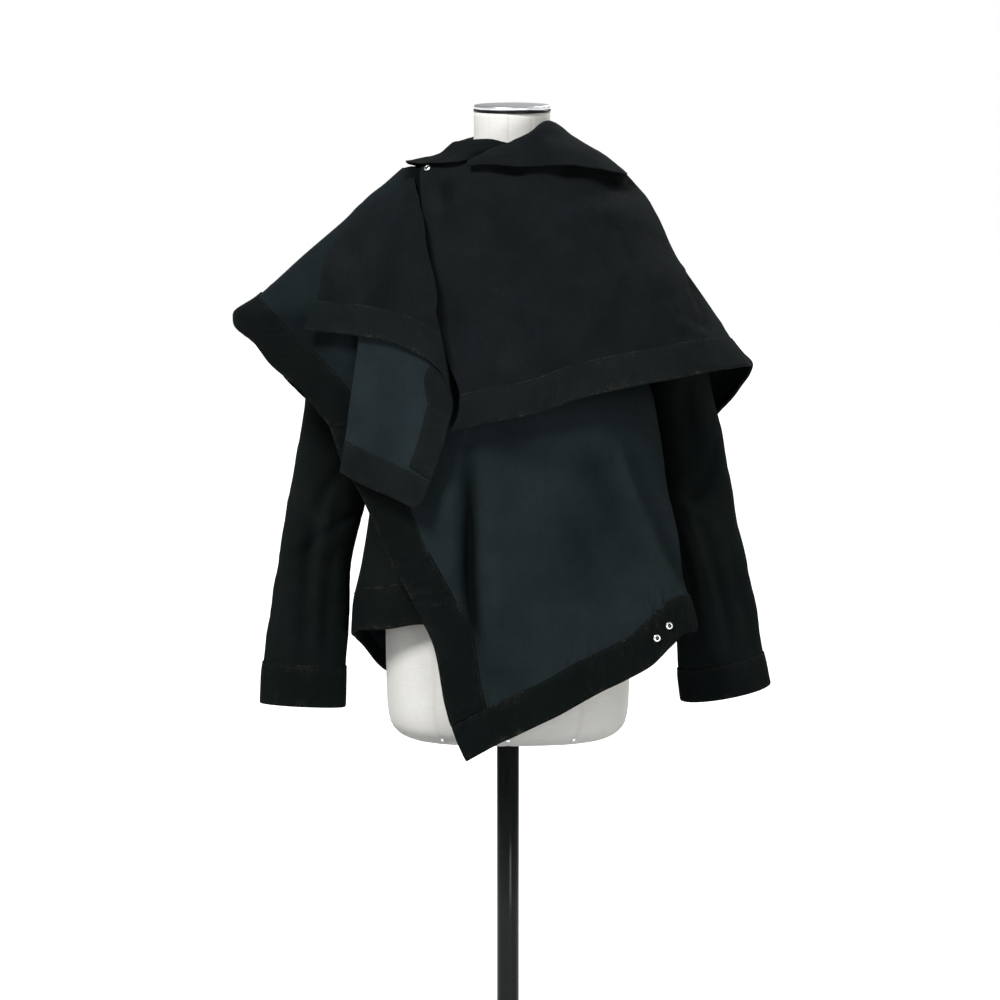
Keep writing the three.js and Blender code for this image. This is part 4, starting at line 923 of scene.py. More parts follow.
def grid_faces(rows, columns, start=0, closed_u=False, closed_v=False):
    """Quads over a grid of vertices that are numbered row by row."""
    i = np.arange(columns if closed_u else columns - 1)
    j = np.arange(rows if closed_v else rows - 1)
    i, j = np.meshgrid(i, j)
    right = (i + 1) % columns
    above = (j + 1) % rows
    quads = [j * columns + i, j * columns + right, above * columns + right, above * columns + i]
    return start + np.stack(quads, axis=-1).reshape(-1, 4)


def face_outward(vertices, faces):
    """Turns all faces over if they enclose a negative volume."""
    a = vertices[faces[:, 0]]
    b = vertices[faces[:, 1]]
    c = vertices[faces[:, 2]]
    d = vertices[faces[:, 3]]
    volume = (a * np.cross(b, c)).sum() + (a * np.cross(c, d)).sum()
    return faces if volume > 0 else faces[:, ::-1]


def filled_ends(vertices, rows, columns):
    """The faces of a tube of closed sections, turned outward, with its two ends filled."""
    plain = grid_faces(rows, columns, 0, True)
    side = face_outward(vertices, plain)
    first = np.arange(columns)
    last = first + (rows - 1) * columns
    turned = (side[0] != plain[0]).any()
    ends = [first, last[::-1]] if turned else [first[::-1], last]
    return [list(face) for face in side] + [list(end) for end in ends]


# The rounded edge of a sheet: height and reach as shares of its wall, and how rubbed it is
RIM_STEPS = ((0.8, 0.34), (0.0, 0.5), (-0.8, 0.34))
RIM_WEAR = 0.35


def cloth_shell(name, points, normals, looks, wear, wraps=False):
    """Thickens a grid of points into a closed shell of cloth with rounded edges."""
    rows, columns = points.shape[:2]
    length_a, length_b = grid_lengths(points)
    half_wall = CLOTH_WALL / 2
    outer = points + normals * half_wall
    inner = points - normals * half_wall
    count = rows * columns
    cloth = np.stack([length_a, length_b], axis=-1).reshape(-1, 2)
    vertices = [outer.reshape(-1, 3), inner.reshape(-1, 3)]
    faces = [grid_faces(rows, columns, 0, wraps), grid_faces(rows, columns, count, wraps)[:, ::-1]]
    face_looks = [np.zeros(len(faces[0])), np.ones(len(faces[1]))]
    cloths = [cloth, cloth]
    index = np.arange(count).reshape(rows, columns)
    if wraps:
        borders = [(index[0], index[1]), (index[-1][::-1], index[-2][::-1])]
    else:
        ring = np.concatenate([index[0, :-1], index[:-1, -1], index[-1, :0:-1], index[:0:-1, 0]])
        within = np.concatenate([index[1, :-1], index[:-1, -2], index[-2, :0:-1], index[:0:-1, 1]])
        borders = [(ring, within)]
    flat = points.reshape(-1, 3)
    flat_normals = normals.reshape(-1, 3)
    start = 2 * count
    for ring, within in borders:
        out = flat[ring] - flat[within]
        out -= (out * flat_normals[ring]).sum(axis=-1, keepdims=True) * flat_normals[ring]
        out /= np.linalg.norm(out, axis=-1, keepdims=True) + 1e-12
        loops = [ring]
        for height, reach in RIM_STEPS:
            vertices.append(flat[ring] + (flat_normals[ring] * height + out * reach) * half_wall)
            cloths.append(cloth[ring])
            loops.append(np.arange(start, start + len(ring)))
            start += len(ring)
        loops.append(count + ring)
        size = len(ring)
        following = (np.arange(size) + 1) % size
        for upper, lower in zip(loops[:-1], loops[1:]):
            quads = np.stack([upper, lower, lower[following], upper[following]], axis=-1)
            faces.append(quads)
            face_looks.append(np.zeros(size))
    vertices = np.concatenate(vertices)
    faces = face_outward(vertices, np.concatenate(faces))
    rim_count = len(vertices) - 2 * count
    worn = np.concatenate([wear.ravel(), 0 * wear.ravel(), np.full(rim_count, RIM_WEAR)])
    return mesh_piece(
        name, vertices, faces, looks, np.concatenate(face_looks), np.concatenate(cloths), worn
    )


def swept_piece(name, rings, looks, cloth, wear):
    """A closed solid swept along rows of closed sections, with its two ends filled."""
    rows, columns = rings.shape[:2]
    vertices = rings.reshape(-1, 3)
    faces = filled_ends(vertices, rows, columns)
    return mesh_piece(name, vertices, faces, looks, None, cloth.reshape(-1, 2), wear.ravel())


# A panel's own surface: its place, its folds and its unevenness


class Panel:
    def __init__(self, place, folds, seed, seams=(0, 0), unevenness=0.7):
        """seams holds the shares of the width over which folds die away at the left and the right edge."""
        self.place = place
        self.seams = seams
        self.folds = folds
        self.noise = waves(seed, 9, 45, 150)
        self.fine = waves(seed + 50, 8, 14, 40)
        self.unevenness = unevenness
        self.pucker = 0
        self.line = None

    def gather(self, width, amount, seed):
        """Puckers the cloth on both sides of the line where a band as wide as this is sewn along the hem."""
        along = np.linspace(0, 1, 60)
        self.line = (along, width_share(self, "hem", width, along))
        self.width = width
        self.pucker = amount
        self.gathers = puckers(seed)

    def surface(self, u, v):
        """The folded surface and its normals over a grid of shares."""
        base = self.place(u, v)
        outward = base * np.array([1, 1, 0])
        normals = grid_normals(base, outward)
        x = base[..., 0]
        z = base[..., 2]
        around = x + base[..., 1]
        height = fold_height(self.folds, x, z) + self.unevenness * self.noise(around, z)
        height = height + 0.16 * self.fine(around, z)
        left, right = self.seams
        if left:
            height = height * smooth_step(u / left)
        if right:
            height = height * smooth_step((1 - u) / right)
        if self.line is not None:
            share = np.interp(u, *self.line)
            away = (v / share - 1) * self.width
            spread = np.where(away > 0, 15, 24)
            height = height + self.pucker * np.exp(-((away / spread) ** 2)) * self.gathers(around, away)
        points = base + normals * height[..., None]
        return points, grid_normals(points, outward)

    def grid(self, columns, rows):
        u, v = np.meshgrid(np.linspace(0, 1, columns), np.linspace(0, 1, rows))
        return self.surface(u, v)

    def fading(self, points):
        """How rubbed the cloth is above 0, on its ridges, and painted shade below 0, in its troughs, which darkens the
        colour in the creases.
        """
        return faded(fold_height(self.folds, points[..., 0], points[..., 2]))


def shares(along, inward, side):
    """u and v of a place that lies inward from the hem, the left or the right edge."""
    if side == "hem":
        return along, inward
    return (inward if side == "left" else 1 - inward), along


def width_share(panel, side, width, along, edge_end=1.0):
    """The inward share at which a panel is a band's width from its edge, at each place along the edge."""
    edge = panel.place(*shares(np.linspace(0, edge_end, 120), np.zeros(120), side))
    inward = np.linspace(0, 0.5, 90)
    grid_along, grid_inward = np.meshgrid(along, inward)
    points = panel.place(*shares(grid_along, grid_inward, side))
    gaps = np.full(points.shape[:2], np.inf)
    for other in edge:
        gaps = np.minimum(gaps, np.linalg.norm(points - other, axis=-1))
    return np.array([np.interp(width, np.maximum.accumulate(row), inward) for row in gaps.T])


# The section of a sewn band, from its stitched edge on the outer face, round the hem and up the inside: the
# distance from the hem as a share of the width, how far it lies past the hem, its height over the panel's
# middle surface, how freely it puckers, and how rubbed it is
BAND_COLUMNS = ("share", "past", "height", "loose", "wear")
BAND_SECTION = [
    (1.0, 0, 0.95, 0, 0.1),
    (1.0, -0.25, 1.5, 0, 0.5),
    (0.985, 0, 2.0, 0, 0.75),
    (0.96, 0, 2.25, 0, 0.5),
    (0.94, 0, 1.95, 0, 0.1),
    (0.925, 0, 1.9, 0.1, 0.1),
    (0.90, 0, 2.25, 0.35, 0.2),
    (0.85, 0, 2.45, 0.7, 0.1),
    (0.78, 0, 2.5, 0.9, 0.05),
    (0.70, 0, 2.5, 1, 0),
    (0.60, 0, 2.5, 1, 0),
    (0.50, 0, 2.5, 1, 0),
    (0.40, 0, 2.5, 1, 0),
    (0.30, 0, 2.5, 1, 0),
    (0.22, 0, 2.5, 0.9, 0.05),
    (0.14, 0, 2.5, 0.8, 0.1),
    (0.08, 0, 2.45, 0.6, 0.25),
    (0.04, 0, 2.3, 0.5, 0.6),
    (0.0, 0.3, 1.9, 0.4, 0.9),
    (0.0, 1.0, 1.1, 0.3, 1.0),
    (0.0, 1.3, 0.1, 0.3, 1.0),
    (0.0, 1.0, -1.0, 0.3, 0.8),
    (0.0, 0.4, -1.7, 0.3, 0.5),
    (0.05, 0, -2.1, 0.3, 0.3),
    (0.2, 0, -2.2, 0.3, 0.1),
    (0.36, 0, -2.1, 0.1, 0.2),
    (0.38, 0, -1.6, 0, 0.1),
    (0.38, 0, -1.08, 0, 0),
    (0.2, 0, -1.08, 0, 0),
    (0.06, 0, -1.08, 0, 0),
    (0.0, 0.05, -0.6, 0, 0),
    (0.0, 0.1, 0.0, 0, 0),
    (0.0, 0.05, 0.6, 0, 0),
    (0.06, 0, 0.95, 0, 0),
    (0.3, 0, 0.95, 0, 0),
    (0.6, 0, 0.95, 0, 0),
    (0.85, 0, 0.95, 0, 0),
]


BAND_BASE = 0.95
STITCH_HEIGHT = 2.0
BAND_STEPS = np.linspace(0, 1.02, 40)


def interpolated(at, steps, grid):
    """Reads a grid of points, whose rows lie at the given steps, at other places."""
    return np.stack(
        [
            np.stack([np.interp(at, steps, grid[:, column, k]) for k in range(3)], axis=-1)
            for column in range(grid.shape[1])
        ],
        axis=-2,
    )


def sewn_band(name, panel, side, width, along, share, looks, seed, rise, pucker):
    """A band sewn round a panel's edge. It returns the band and the line of its stitches."""
    section = dict(zip(BAND_COLUMNS, np.array(BAND_SECTION).T))
    inward = section["share"]
    rail_share = BAND_STEPS[:, None] * share[None, :]
    rail_along = np.broadcast_to(along[None, :], rail_share.shape)
    rail, rail_normals = panel.surface(*shares(rail_along, rail_share, side))
    outward = rail * np.array([1, 1, 0])
    if (rail_normals * outward).sum() < 0:
        rail_normals = -rail_normals
    points = interpolated(inward, BAND_STEPS, rail)
    normals = interpolated(inward, BAND_STEPS, rail_normals)
    down = rail[0] - rail[1]
    down /= np.linalg.norm(down, axis=-1, keepdims=True) + 1e-12
    run = np.concatenate([[0], np.cumsum(np.linalg.norm(np.diff(rail[0], axis=0), axis=-1))])
    patches = np.clip(0.5 + 0.5 * waves(seed + 1, 6, 30, 140)(run, 0 * run), 0, 1.3)[None, :]
    depth = inward[:, None] * width
    ripple = puckers(seed)(run[None, :], depth) + 0 * depth
    loose = section["loose"][:, None]
    flat_height = section["height"][:, None]
    height = flat_height + pucker * loose * ripple
    lifted = np.where(flat_height > BAND_BASE + 0.02, BAND_BASE + (height - BAND_BASE) * rise, height)
    rings = points + normals * lifted[..., None] + down[None, :, :] * section["past"][:, None, None]
    wear = section["wear"][:, None] * (0.25 + 0.75 * patches)
    wear = wear + 0.3 * loose * np.clip(ripple - 0.5, 0, 1.5) * patches
    cloth = np.stack([run[None, :] + 0 * depth, depth + 0 * wear], axis=-1)
    rings, cloth, wear = (np.swapaxes(rows, 0, 1) for rows in (rings, cloth, wear))
    piece = swept_piece(name, rings, looks, cloth, wear)
    thread_row = np.array([1 - STITCH_INSET / width])
    line = interpolated(thread_row, BAND_STEPS, rail)[0]
    line_normals = interpolated(thread_row, BAND_STEPS, rail_normals)[0]
    line_height = BAND_BASE + (STITCH_HEIGHT - BAND_BASE) * rise
    return piece, (line + line_normals * line_height, line_normals)


STITCH_MARGIN = 1.0
STITCH_SIDES = 6

# A stitch from end to end: its place along the thread, its thickness and how high it lies
STITCH_PROFILE = [(-0.5, 0.15, -0.5), (-0.34, 0.8, 0.1), (0.0, 1.0, 0.5), (0.34, 0.8, 0.1), (0.5, 0.15, -0.5)]


def stitch_row(points, normals):
    """Places of the stitches along a line: middles, directions and normals."""
    gaps = np.linalg.norm(np.diff(points, axis=0), axis=-1)
    run = np.concatenate([[0], np.cumsum(gaps)])
    at = np.arange(STITCH_MARGIN, run[-1] - STITCH_MARGIN, STITCH_PITCH)

    def along(values, shift):
        return np.stack([np.interp(at + shift, run, values[:, k]) for k in range(3)], axis=-1)

    normal = along(normals, 0)
    direction = along(points, 0.5) - along(points, -0.5)
    direction /= np.linalg.norm(direction, axis=-1, keepdims=True) + 1e-12
    normal /= np.linalg.norm(normal, axis=-1, keepdims=True) + 1e-12
    return along(points, 0), direction, normal


def stitches(name, lines, look):
    """All stitches of some lines as one piece. Each is a short thread whose ends dip into the cloth."""
    rows = len(STITCH_PROFILE)
    size = rows * STITCH_SIDES
    pattern = grid_faces(rows, STITCH_SIDES, 0, True)
    vertices = []
    faces = []
    start = 0
    for points, normals in lines:
        place, direction, normal = stitch_row(points, normals)
        side = np.cross(direction, normal)
        count = len(place)
        rings = np.zeros((count, rows, STITCH_SIDES, 3))
        for j, (shift, thick, lift) in enumerate(STITCH_PROFILE):
            for i in range(STITCH_SIDES):
                turn = i / STITCH_SIDES * FULL_TURN
                rings[:, j, i] = (
                    place
                    + direction * shift * STITCH_LENGTH
                    + side * math.cos(turn) * STITCH_RADIUS * thick
                    + normal * (math.sin(turn) * thick + lift) * STITCH_RADIUS
                )
        vertices.append(rings.reshape(-1, 3))
        offsets = start + np.arange(count) * size
        faces.append((pattern[None, :, :] + offsets[:, None, None]).reshape(-1, 4))
        start += count * size
    return mesh_piece(name, np.concatenate(vertices), np.concatenate(faces), [look])


# Materials


def new_material(name):
    material = bpy.data.materials.new(name)
    material.use_nodes = True
    return material, material.node_tree, material.node_tree.nodes["Principled BSDF"]


def add_node(tree, kind, **settings):
    node = tree.nodes.new(kind)
    for key, value in settings.items():
        setattr(node, key, value)
    return node


def math_node(tree, operation, first, second=None, clamp=False):
    node = add_node(tree, "ShaderNodeMath", operation=operation, use_clamp=clamp)
    for socket, value in zip(node.inputs, (first, second)):
        if value is None:
            continue
        if isinstance(value, (int, float)):
            socket.default_value = value
        else:
            tree.links.new(value, socket)
    return node.outputs[0]


def mix_colours(tree, factor, first, second, blend="MIX"):
    node = add_node(tree, "ShaderNodeMix", data_type="RGBA", blend_type=blend)
    for socket, value in zip((node.inputs[0], node.inputs[6], node.inputs[7]), (factor, first, second)):
        if isinstance(value, (int, float)):
            socket.default_value = value
        elif isinstance(value, tuple):
            socket.default_value = (*value, 1)
        else:
            tree.links.new(value, socket)
    return node.outputs[2]


def noise_value(tree, vector, scale, detail=2.0, stretch=(1, 1, 1)):
    mapping = add_node(tree, "ShaderNodeMapping")
    mapping.inputs["Scale"].default_value = stretch
    tree.links.new(vector, mapping.inputs["Vector"])
    noise = add_node(tree, "ShaderNodeTexNoise")
    noise.inputs["Scale"].default_value = scale
    noise.inputs["Detail"].default_value = detail
    tree.links.new(mapping.outputs["Vector"], noise.inputs["Vector"])
    return noise.outputs["Fac"]


def stretched(tree, value, low, high):
    node = add_node(tree, "ShaderNodeMapRange")
    node.inputs["From Min"].default_value = low
    node.inputs["From Max"].default_value = high
    tree.links.new(value, node.inputs["Value"])
    return node.outputs["Result"]


def bumped(tree, height, strength, distance, under=None):
    bump = add_node(tree, "ShaderNodeBump")
    bump.inputs["Strength"].default_value = strength
    bump.inputs["Distance"].default_value = distance
    tree.links.new(height, bump.inputs["Height"])
    if under is not None:
        tree.links.new(under, bump.inputs["Normal"])
    return bump.outputs["Normal"]


def denim_material(name, dark, light, worn, shade_colour):
    """Twill: fine slanted ribs, slubby warp threads, cloudy fades, rubbed edges, and painted shade where the wear
    attribute is below 0.
    """
    material, tree, shader = new_material(name)
    uv = add_node(tree, "ShaderNodeUVMap", uv_map="Cloth").outputs["UV"]
    split = add_node(tree, "ShaderNodeSeparateXYZ")
    tree.links.new(uv, split.inputs[0])
    slanted = math_node(tree, "ADD", split.outputs[0], math_node(tree, "MULTIPLY", split.outputs[1], 0.62))
    phase = math_node(tree, "MULTIPLY", slanted, FULL_TURN / (TWILL_PITCH * MM))
    rib = math_node(tree, "MULTIPLY_ADD", math_node(tree, "SINE", phase), 0.5)
    rib.node.inputs[2].default_value = 0.5
    picks = math_node(tree, "SINE", math_node(tree, "MULTIPLY", split.outputs[1], FULL_TURN / (0.9 * MM)))
    weave = math_node(tree, "MULTIPLY", rib, math_node(tree, "MULTIPLY_ADD", picks, 0.18))
    weave.node.inputs[1].links[0].from_node.inputs[2].default_value = 0.82
    warp = noise_value(tree, uv, 1.0, 3.0, (1500, 34, 1))
    weft = noise_value(tree, uv, 1.0, 2.0, (60, 1300, 1))
    place = add_node(tree, "ShaderNodeTexCoord").outputs["Object"]
    cloud = noise_value(tree, place, 7.0, 4.0)
    patch = noise_value(tree, place, 26.0, 5.0)
    tone = math_node(tree, "MULTIPLY", stretched(tree, warp, 0.3, 0.7), 0.34)
    tone = math_node(tree, "ADD", tone, math_node(tree, "MULTIPLY", stretched(tree, weft, 0.3, 0.7), 0.12))
    tone = math_node(tree, "ADD", tone, math_node(tree, "MULTIPLY", stretched(tree, cloud, 0.3, 0.7), 0.3))
    tone = math_node(tree, "ADD", tone, math_node(tree, "MULTIPLY", stretched(tree, patch, 0.38, 0.64), 0.2))
    tone = math_node(tree, "ADD", tone, math_node(tree, "MULTIPLY", weave, 0.16), clamp=True)
    colour = mix_colours(tree, tone, dark, light)
    wear = add_node(tree, "ShaderNodeAttribute", attribute_name="wear").outputs["Fac"]
    hue = stretched(tree, noise_value(tree, place, 9.0, 3.0), 0.38, 0.62)
    cool = mix_colours(tree, 1.0, colour, (0.97, 0.98, 1.06), "MULTIPLY")
    colour = mix_colours(tree, hue, colour, cool)
    # Painted shade: where the wear attribute is below 0, in the creases and on the covered parts of the wrap, the
    # colour is mixed toward the shade colour.
    painted_shade_amount = math_node(tree, "MULTIPLY", wear, -1.0, clamp=True)
    colour = mix_colours(tree, painted_shade_amount, colour, shade_colour)
    speckle = stretched(tree, noise_value(tree, place, 420.0, 3.0), 0.44, 0.62)
    rubbed = stretched(tree, noise_value(tree, place, 55.0, 3.0), 0.36, 0.64)
    factor = math_node(tree, "MULTIPLY", wear, math_node(tree, "MULTIPLY", speckle, rubbed), clamp=True)
    colour = mix_colours(tree, factor, colour, worn)
    tree.links.new(colour, shader.inputs["Base Color"])
    shader.inputs["Roughness"].default_value = 0.86
    shader.inputs["Specular IOR Level"].default_value = 0.02
    shader.inputs["Sheen Weight"].default_value = 0.004
    shader.inputs["Sheen Roughness"].default_value = 0.45
    shader.inputs["Sheen Tint"].default_value = (0.55, 0.6, 0.62, 1)
    height = math_node(tree, "ADD", weave, math_node(tree, "MULTIPLY", warp, 0.9))
    soft = bumped(tree, patch, 0.5, 0.0012)
    tree.links.new(bumped(tree, height, 0.6, 0.00035, soft), shader.inputs["Normal"])
    return material


def thread_material():
    material, tree, shader = new_material("black_thread")
    place = add_node(tree, "ShaderNodeTexCoord").outputs["Object"]
    faded = stretched(tree, noise_value(tree, place, 30.0, 4.0), 0.42, 0.64)
    fine = stretched(tree, noise_value(tree, place, 900.0, 2.0), 0.4, 0.6)
    factor = math_node(tree, "MULTIPLY", faded, fine, clamp=True)
    colour = mix_colours(tree, factor, (0.005, 0.007, 0.007), (0.024, 0.026, 0.023))
    tree.links.new(colour, shader.inputs["Base Color"])
    shader.inputs["Roughness"].default_value = 0.7
    shader.inputs["Specular IOR Level"].default_value = 0.1
    return material


def linen_material():
    """The form's cover: a fine plain weave with slubs and sewn seams."""
    material, tree, shader = new_material("linen_cover")
    place = add_node(tree, "ShaderNodeTexCoord").outputs["Object"]
    split = add_node(tree, "ShaderNodeSeparateXYZ")
    tree.links.new(place, split.inputs[0])
    level = math_node(tree, "SINE", math_node(tree, "MULTIPLY", split.outputs[2], FULL_TURN / (0.9 * MM)))
    across = math_node(tree, "ADD", split.outputs[0], split.outputs[1])
    upright = math_node(tree, "SINE", math_node(tree, "MULTIPLY", across, FULL_TURN / (0.9 * MM)))
    weave = math_node(tree, "MULTIPLY", level, upright)
    slub = noise_value(tree, place, 1.0, 3.0, (90, 90, 1400))
    cloud = noise_value(tree, place, 9.0, 3.0)
    slubs = math_node(tree, "MULTIPLY", slub, 0.6)
    tone = math_node(tree, "ADD", slubs, math_node(tree, "MULTIPLY", cloud, 0.4))
    colour = mix_colours(tree, stretched(tree, tone, 0.35, 0.65), (0.67, 0.66, 0.62), (0.76, 0.755, 0.72))
    seam = add_node(tree, "ShaderNodeAttribute", attribute_name="wear").outputs["Fac"]
    colour = mix_colours(tree, seam, colour, (0.50, 0.49, 0.46))
    tree.links.new(colour, shader.inputs["Base Color"])
    shader.inputs["Roughness"].default_value = 0.85
    shader.inputs["Specular IOR Level"].default_value = 0.25
    shader.inputs["Sheen Weight"].default_value = 0.15
    height = math_node(tree, "ADD", math_node(tree, "MULTIPLY", weave, 0.4), slub)
    tree.links.new(bumped(tree, height, 0.35, 0.0002), shader.inputs["Normal"])
    return material


def metal_material(name, colour, roughness, scratch):
    material, tree, shader = new_material(name)
    place = add_node(tree, "ShaderNodeTexCoord").outputs["Object"]
    fine = noise_value(tree, place, 1.0, 3.0, scratch)
    smudge = noise_value(tree, place, 90.0, 3.0)
    tone = mix_colours(tree, stretched(tree, smudge, 0.3, 0.7), tuple(0.9 * c for c in colour), colour)
    tree.links.new(tone, shader.inputs["Base Color"])
    shader.inputs["Metallic"].default_value = 1.0
    rough = math_node(tree, "MULTIPLY_ADD", fine, 0.18)
    rough.node.inputs[2].default_value = roughness - 0.09
    tree.links.new(rough, shader.inputs["Roughness"])
    tree.links.new(bumped(tree, fine, 0.1, 0.0001), shader.inputs["Normal"])
    return material


def paint_material():
    """Gloss black paint on steel, with a little dust and faint unevenness."""
    material, tree, shader = new_material("gloss_black_paint")
    place = add_node(tree, "ShaderNodeTexCoord").outputs["Object"]
    dust = stretched(tree, noise_value(tree, place, 300.0, 4.0), 0.55, 0.8)
    smear = noise_value(tree, place, 14.0, 3.0)
    dusty = math_node(tree, "MULTIPLY", dust, 0.25)
    colour = mix_colours(tree, dusty, (0.006, 0.009, 0.008), (0.03, 0.032, 0.03))
    tree.links.new(colour, shader.inputs["Base Color"])
    rough = math_node(tree, "MULTIPLY_ADD", smear, 0.12)
    rough.node.inputs[2].default_value = 0.1
    tree.links.new(rough, shader.inputs["Roughness"])
    shader.inputs["Specular IOR Level"].default_value = 0.09
    tree.links.new(bumped(tree, noise_value(tree, place, 160.0, 2.0), 0.05, 0.0003), shader.inputs["Normal"])
    return material


# Linear colours: the darkest and the lightest cloth, where it is rubbed, and the painted shade that its creases and
# covered parts take
RUBBED = (0.040, 0.041, 0.035)
PAINTED_SHADE_COLOUR = (0.0014, 0.0022, 0.0022)
FACE = denim_material("denim_face", (0.0034, 0.0050, 0.0052), (0.0114, 0.0142, 0.0146), RUBBED, PAINTED_SHADE_COLOUR)
# A darker copy of the face denim: painted shade for the panels that lie in shade, the back and the inner front, and
# for the sleeves.
SHADED_FACE = denim_material(
    "denim_face_deep", (0.0026, 0.0044, 0.0040), (0.0082, 0.0110, 0.0102), RUBBED, PAINTED_SHADE_COLOUR
)
# The reverse side's own painted shade colour is its last colour.
REVERSE = denim_material(
    "denim_reverse_side", (0.0086, 0.0134, 0.0144), (0.0204, 0.0288, 0.0310), RUBBED, (0.0024, 0.0038, 0.0040)
)
BAND = denim_material("denim_sewn_band", (0.0030, 0.0048, 0.0048), (0.0118, 0.0150, 0.0148), RUBBED, PAINTED_SHADE_COLOUR)
DEEP_BAND = denim_material(
    "denim_band_deep", (0.0018, 0.0032, 0.0030), (0.0062, 0.0086, 0.0080), RUBBED, PAINTED_SHADE_COLOUR
)
THREAD = thread_material()
LINEN = linen_material()
SNAP_METAL = metal_material("snap_nickel", (0.62, 0.63, 0.64), 0.26, (700, 700, 700))
CAP_METAL = metal_material("brushed_cap", (0.64, 0.66, 0.67), 0.36, (1800, 60, 1800))
DARK_METAL = metal_material("dark_socket", (0.06, 0.06, 0.065), 0.45, (700, 700, 700))
PAINT = paint_material()

# Camera, at the photograph's angle

centre = Vector((VIEW_CENTRE_X, 0, VIEW_CENTRE_Z)) * MM
tilt = math.radians(VIEW_ELEVATION)
camera_data = bpy.data.cameras.new("camera")
camera_data.lens = LENS
camera_data.sensor_width = SENSOR
camera_data.clip_end = 60
camera = bpy.data.objects.new("camera", camera_data)
camera.location = centre + Vector((0, -math.cos(tilt), math.sin(tilt))) * VIEW_DISTANCE * MM
camera.rotation_euler = (math.radians(90) - tilt, 0, 0)
bpy.context.scene.collection.objects.link(camera)
bpy.context.scene.camera = camera

# Jacket


def dress(piece, node, slot_name):
    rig.replaces(piece, node)
    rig.slot(piece, slot_name)
    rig.ride(piece, "root")
    return piece


PANELS = {
    "back": Panel(make_back(), BACK_FOLDS, 11, (0.05, 0.05)),
    "front_inner": Panel(make_inner(), INNER_FOLDS, 12, (0.1, 0)),
    "front_wrap": Panel(shifted_y(make_wrap(), -0.3), WRAP_FOLDS, 13, (0, 0.04)),
    "cape_front": Panel(shifted_y(make_cape_front(), -0.3), CAPE_FOLDS, 14, (0, 0.05)),
    "cape_back": Panel(shifted_y(make_cape_back(), 0.3), CAPE_BACK_FOLDS, 15, (0.05, 0.05)),
    "tie_end": Panel(
        hung_over(over_wrap(TIE_LEFT, TIE_RIGHT, TIE_HEM, TIE_TOP), 14, 28), TIE_FOLDS, 16, unevenness=0.5
    ),
    "flap": Panel(
        hung_over(over_wrap(FLAP_LEFT, FLAP_RIGHT, FLAP_HEM, FLAP_TOP), 18, 33.8, 4.0),
        FLAP_FOLDS,
        17,
        unevenness=0.5,
    ),
}
PANELS["front_wrap"].gather(WRAP_HEM_BAND, 0.75, 61)
PANELS["cape_front"].gather(CAPE_BAND, 0.3, 62)
PANELS["cape_back"].gather(CAPE_BAND, 0.35, 63)
PANELS["flap"].gather(FLAP_BAND, 0.5, 64)
PANELS["tie_end"].gather(TIE_HEM_BAND, 0.5, 65)
PANELS["back"].gather(BACK_BAND, 0.4, 66)
PANEL_GRIDS = {
    "back": (130, 130),
    "front_inner": (60, 130),
    "front_wrap": (190, 190),
    "cape_front": (150, 120),
    "cape_back": (190, 104),
    "tie_end": (66, 84),
    "flap": (80, 96),
}
REVERSED = ("front_wrap", "tie_end")
# The panels in shade, which take the darker copy of the face denim as painted shade
SHADED = ("back", "front_inner")

# Each sheet of cloth and its flat cut, and the pieces sewn to it
cuts = {}
sewn_on = {name: [] for name in (*PANELS, "sleeve_left", "sleeve_right")}

for name, panel in PANELS.items():
    points, normals = panel.grid(*PANEL_GRIDS[name])
    wear = panel.fading(points)
    if name == "front_wrap":
        x = points[..., 0]
        z = points[..., 2]
        # Painted shade on the wrap: its colour is darkened above the cape's hem, where the cape and the flap cover it,
        # though not at the far left of the wing, and darkest right of the flap's edge, in the gap between the flap and
        # the cape. A fifth of the shade colour is mixed in all over as well, which only dulls the wrap's own tone.
        wing = smooth_step((z - 1030) / 60)
        far = smooth_step((-285 - x) / 40) * smooth_step((z - 1120) / 30)
        shade_right_of_flap = smooth_step((x + 135) / 20) * wing
        wear = wear - 0.2 - 0.26 * wing * (1 - far) - 0.6 * shade_right_of_flap
    looks = [SHADED_FACE if name in SHADED else FACE, REVERSE]
    if name in REVERSED:
        looks.reverse()
    piece = cloth_shell(f"cloth_{name}", points, normals, looks, wear)
    cuts[name] = (piece, flat_cut(points))
    dress(piece, name, "denim_reverse" if name in REVERSED else "denim")

# Bands: width, number of sections, seed, rise over the panel and pucker
thread_lines = {name: [] for name in sewn_on}


def hem_band(node, panel_name, width, count, seed, rise, pucker, look=BAND):
    panel = PANELS[panel_name]
    along = np.linspace(0.002, 0.998, count)
    share = width_share(panel, "hem", width, along)
    piece, line = sewn_band(f"cloth_{node}", panel, "hem", width, along, share, [look], seed, rise, pucker)
    sewn_on[panel_name].append(dress(piece, node, "denim_band"))
    thread_lines[panel_name].append(line)


def side_band(node, panel_name, side, widths, span, count, seed, rise, pucker, look=BAND):
    panel = PANELS[panel_name]
    hem_share = width_share(panel, "hem", widths[1] + 1.2, np.array([0.0 if side == "left" else 1.0]))[0]
    along = np.linspace(hem_share, span[1], count)
    share = np.maximum(0.012, width_share(panel, side, widths[0], along, span[0]))
    piece, line = sewn_band(f"cloth_{node}", panel, side, widths[0], along, share, [look], seed, rise, pucker)
    sewn_on[panel_name].append(dress(piece, node, "denim_band"))
    thread_lines[panel_name].append(line)


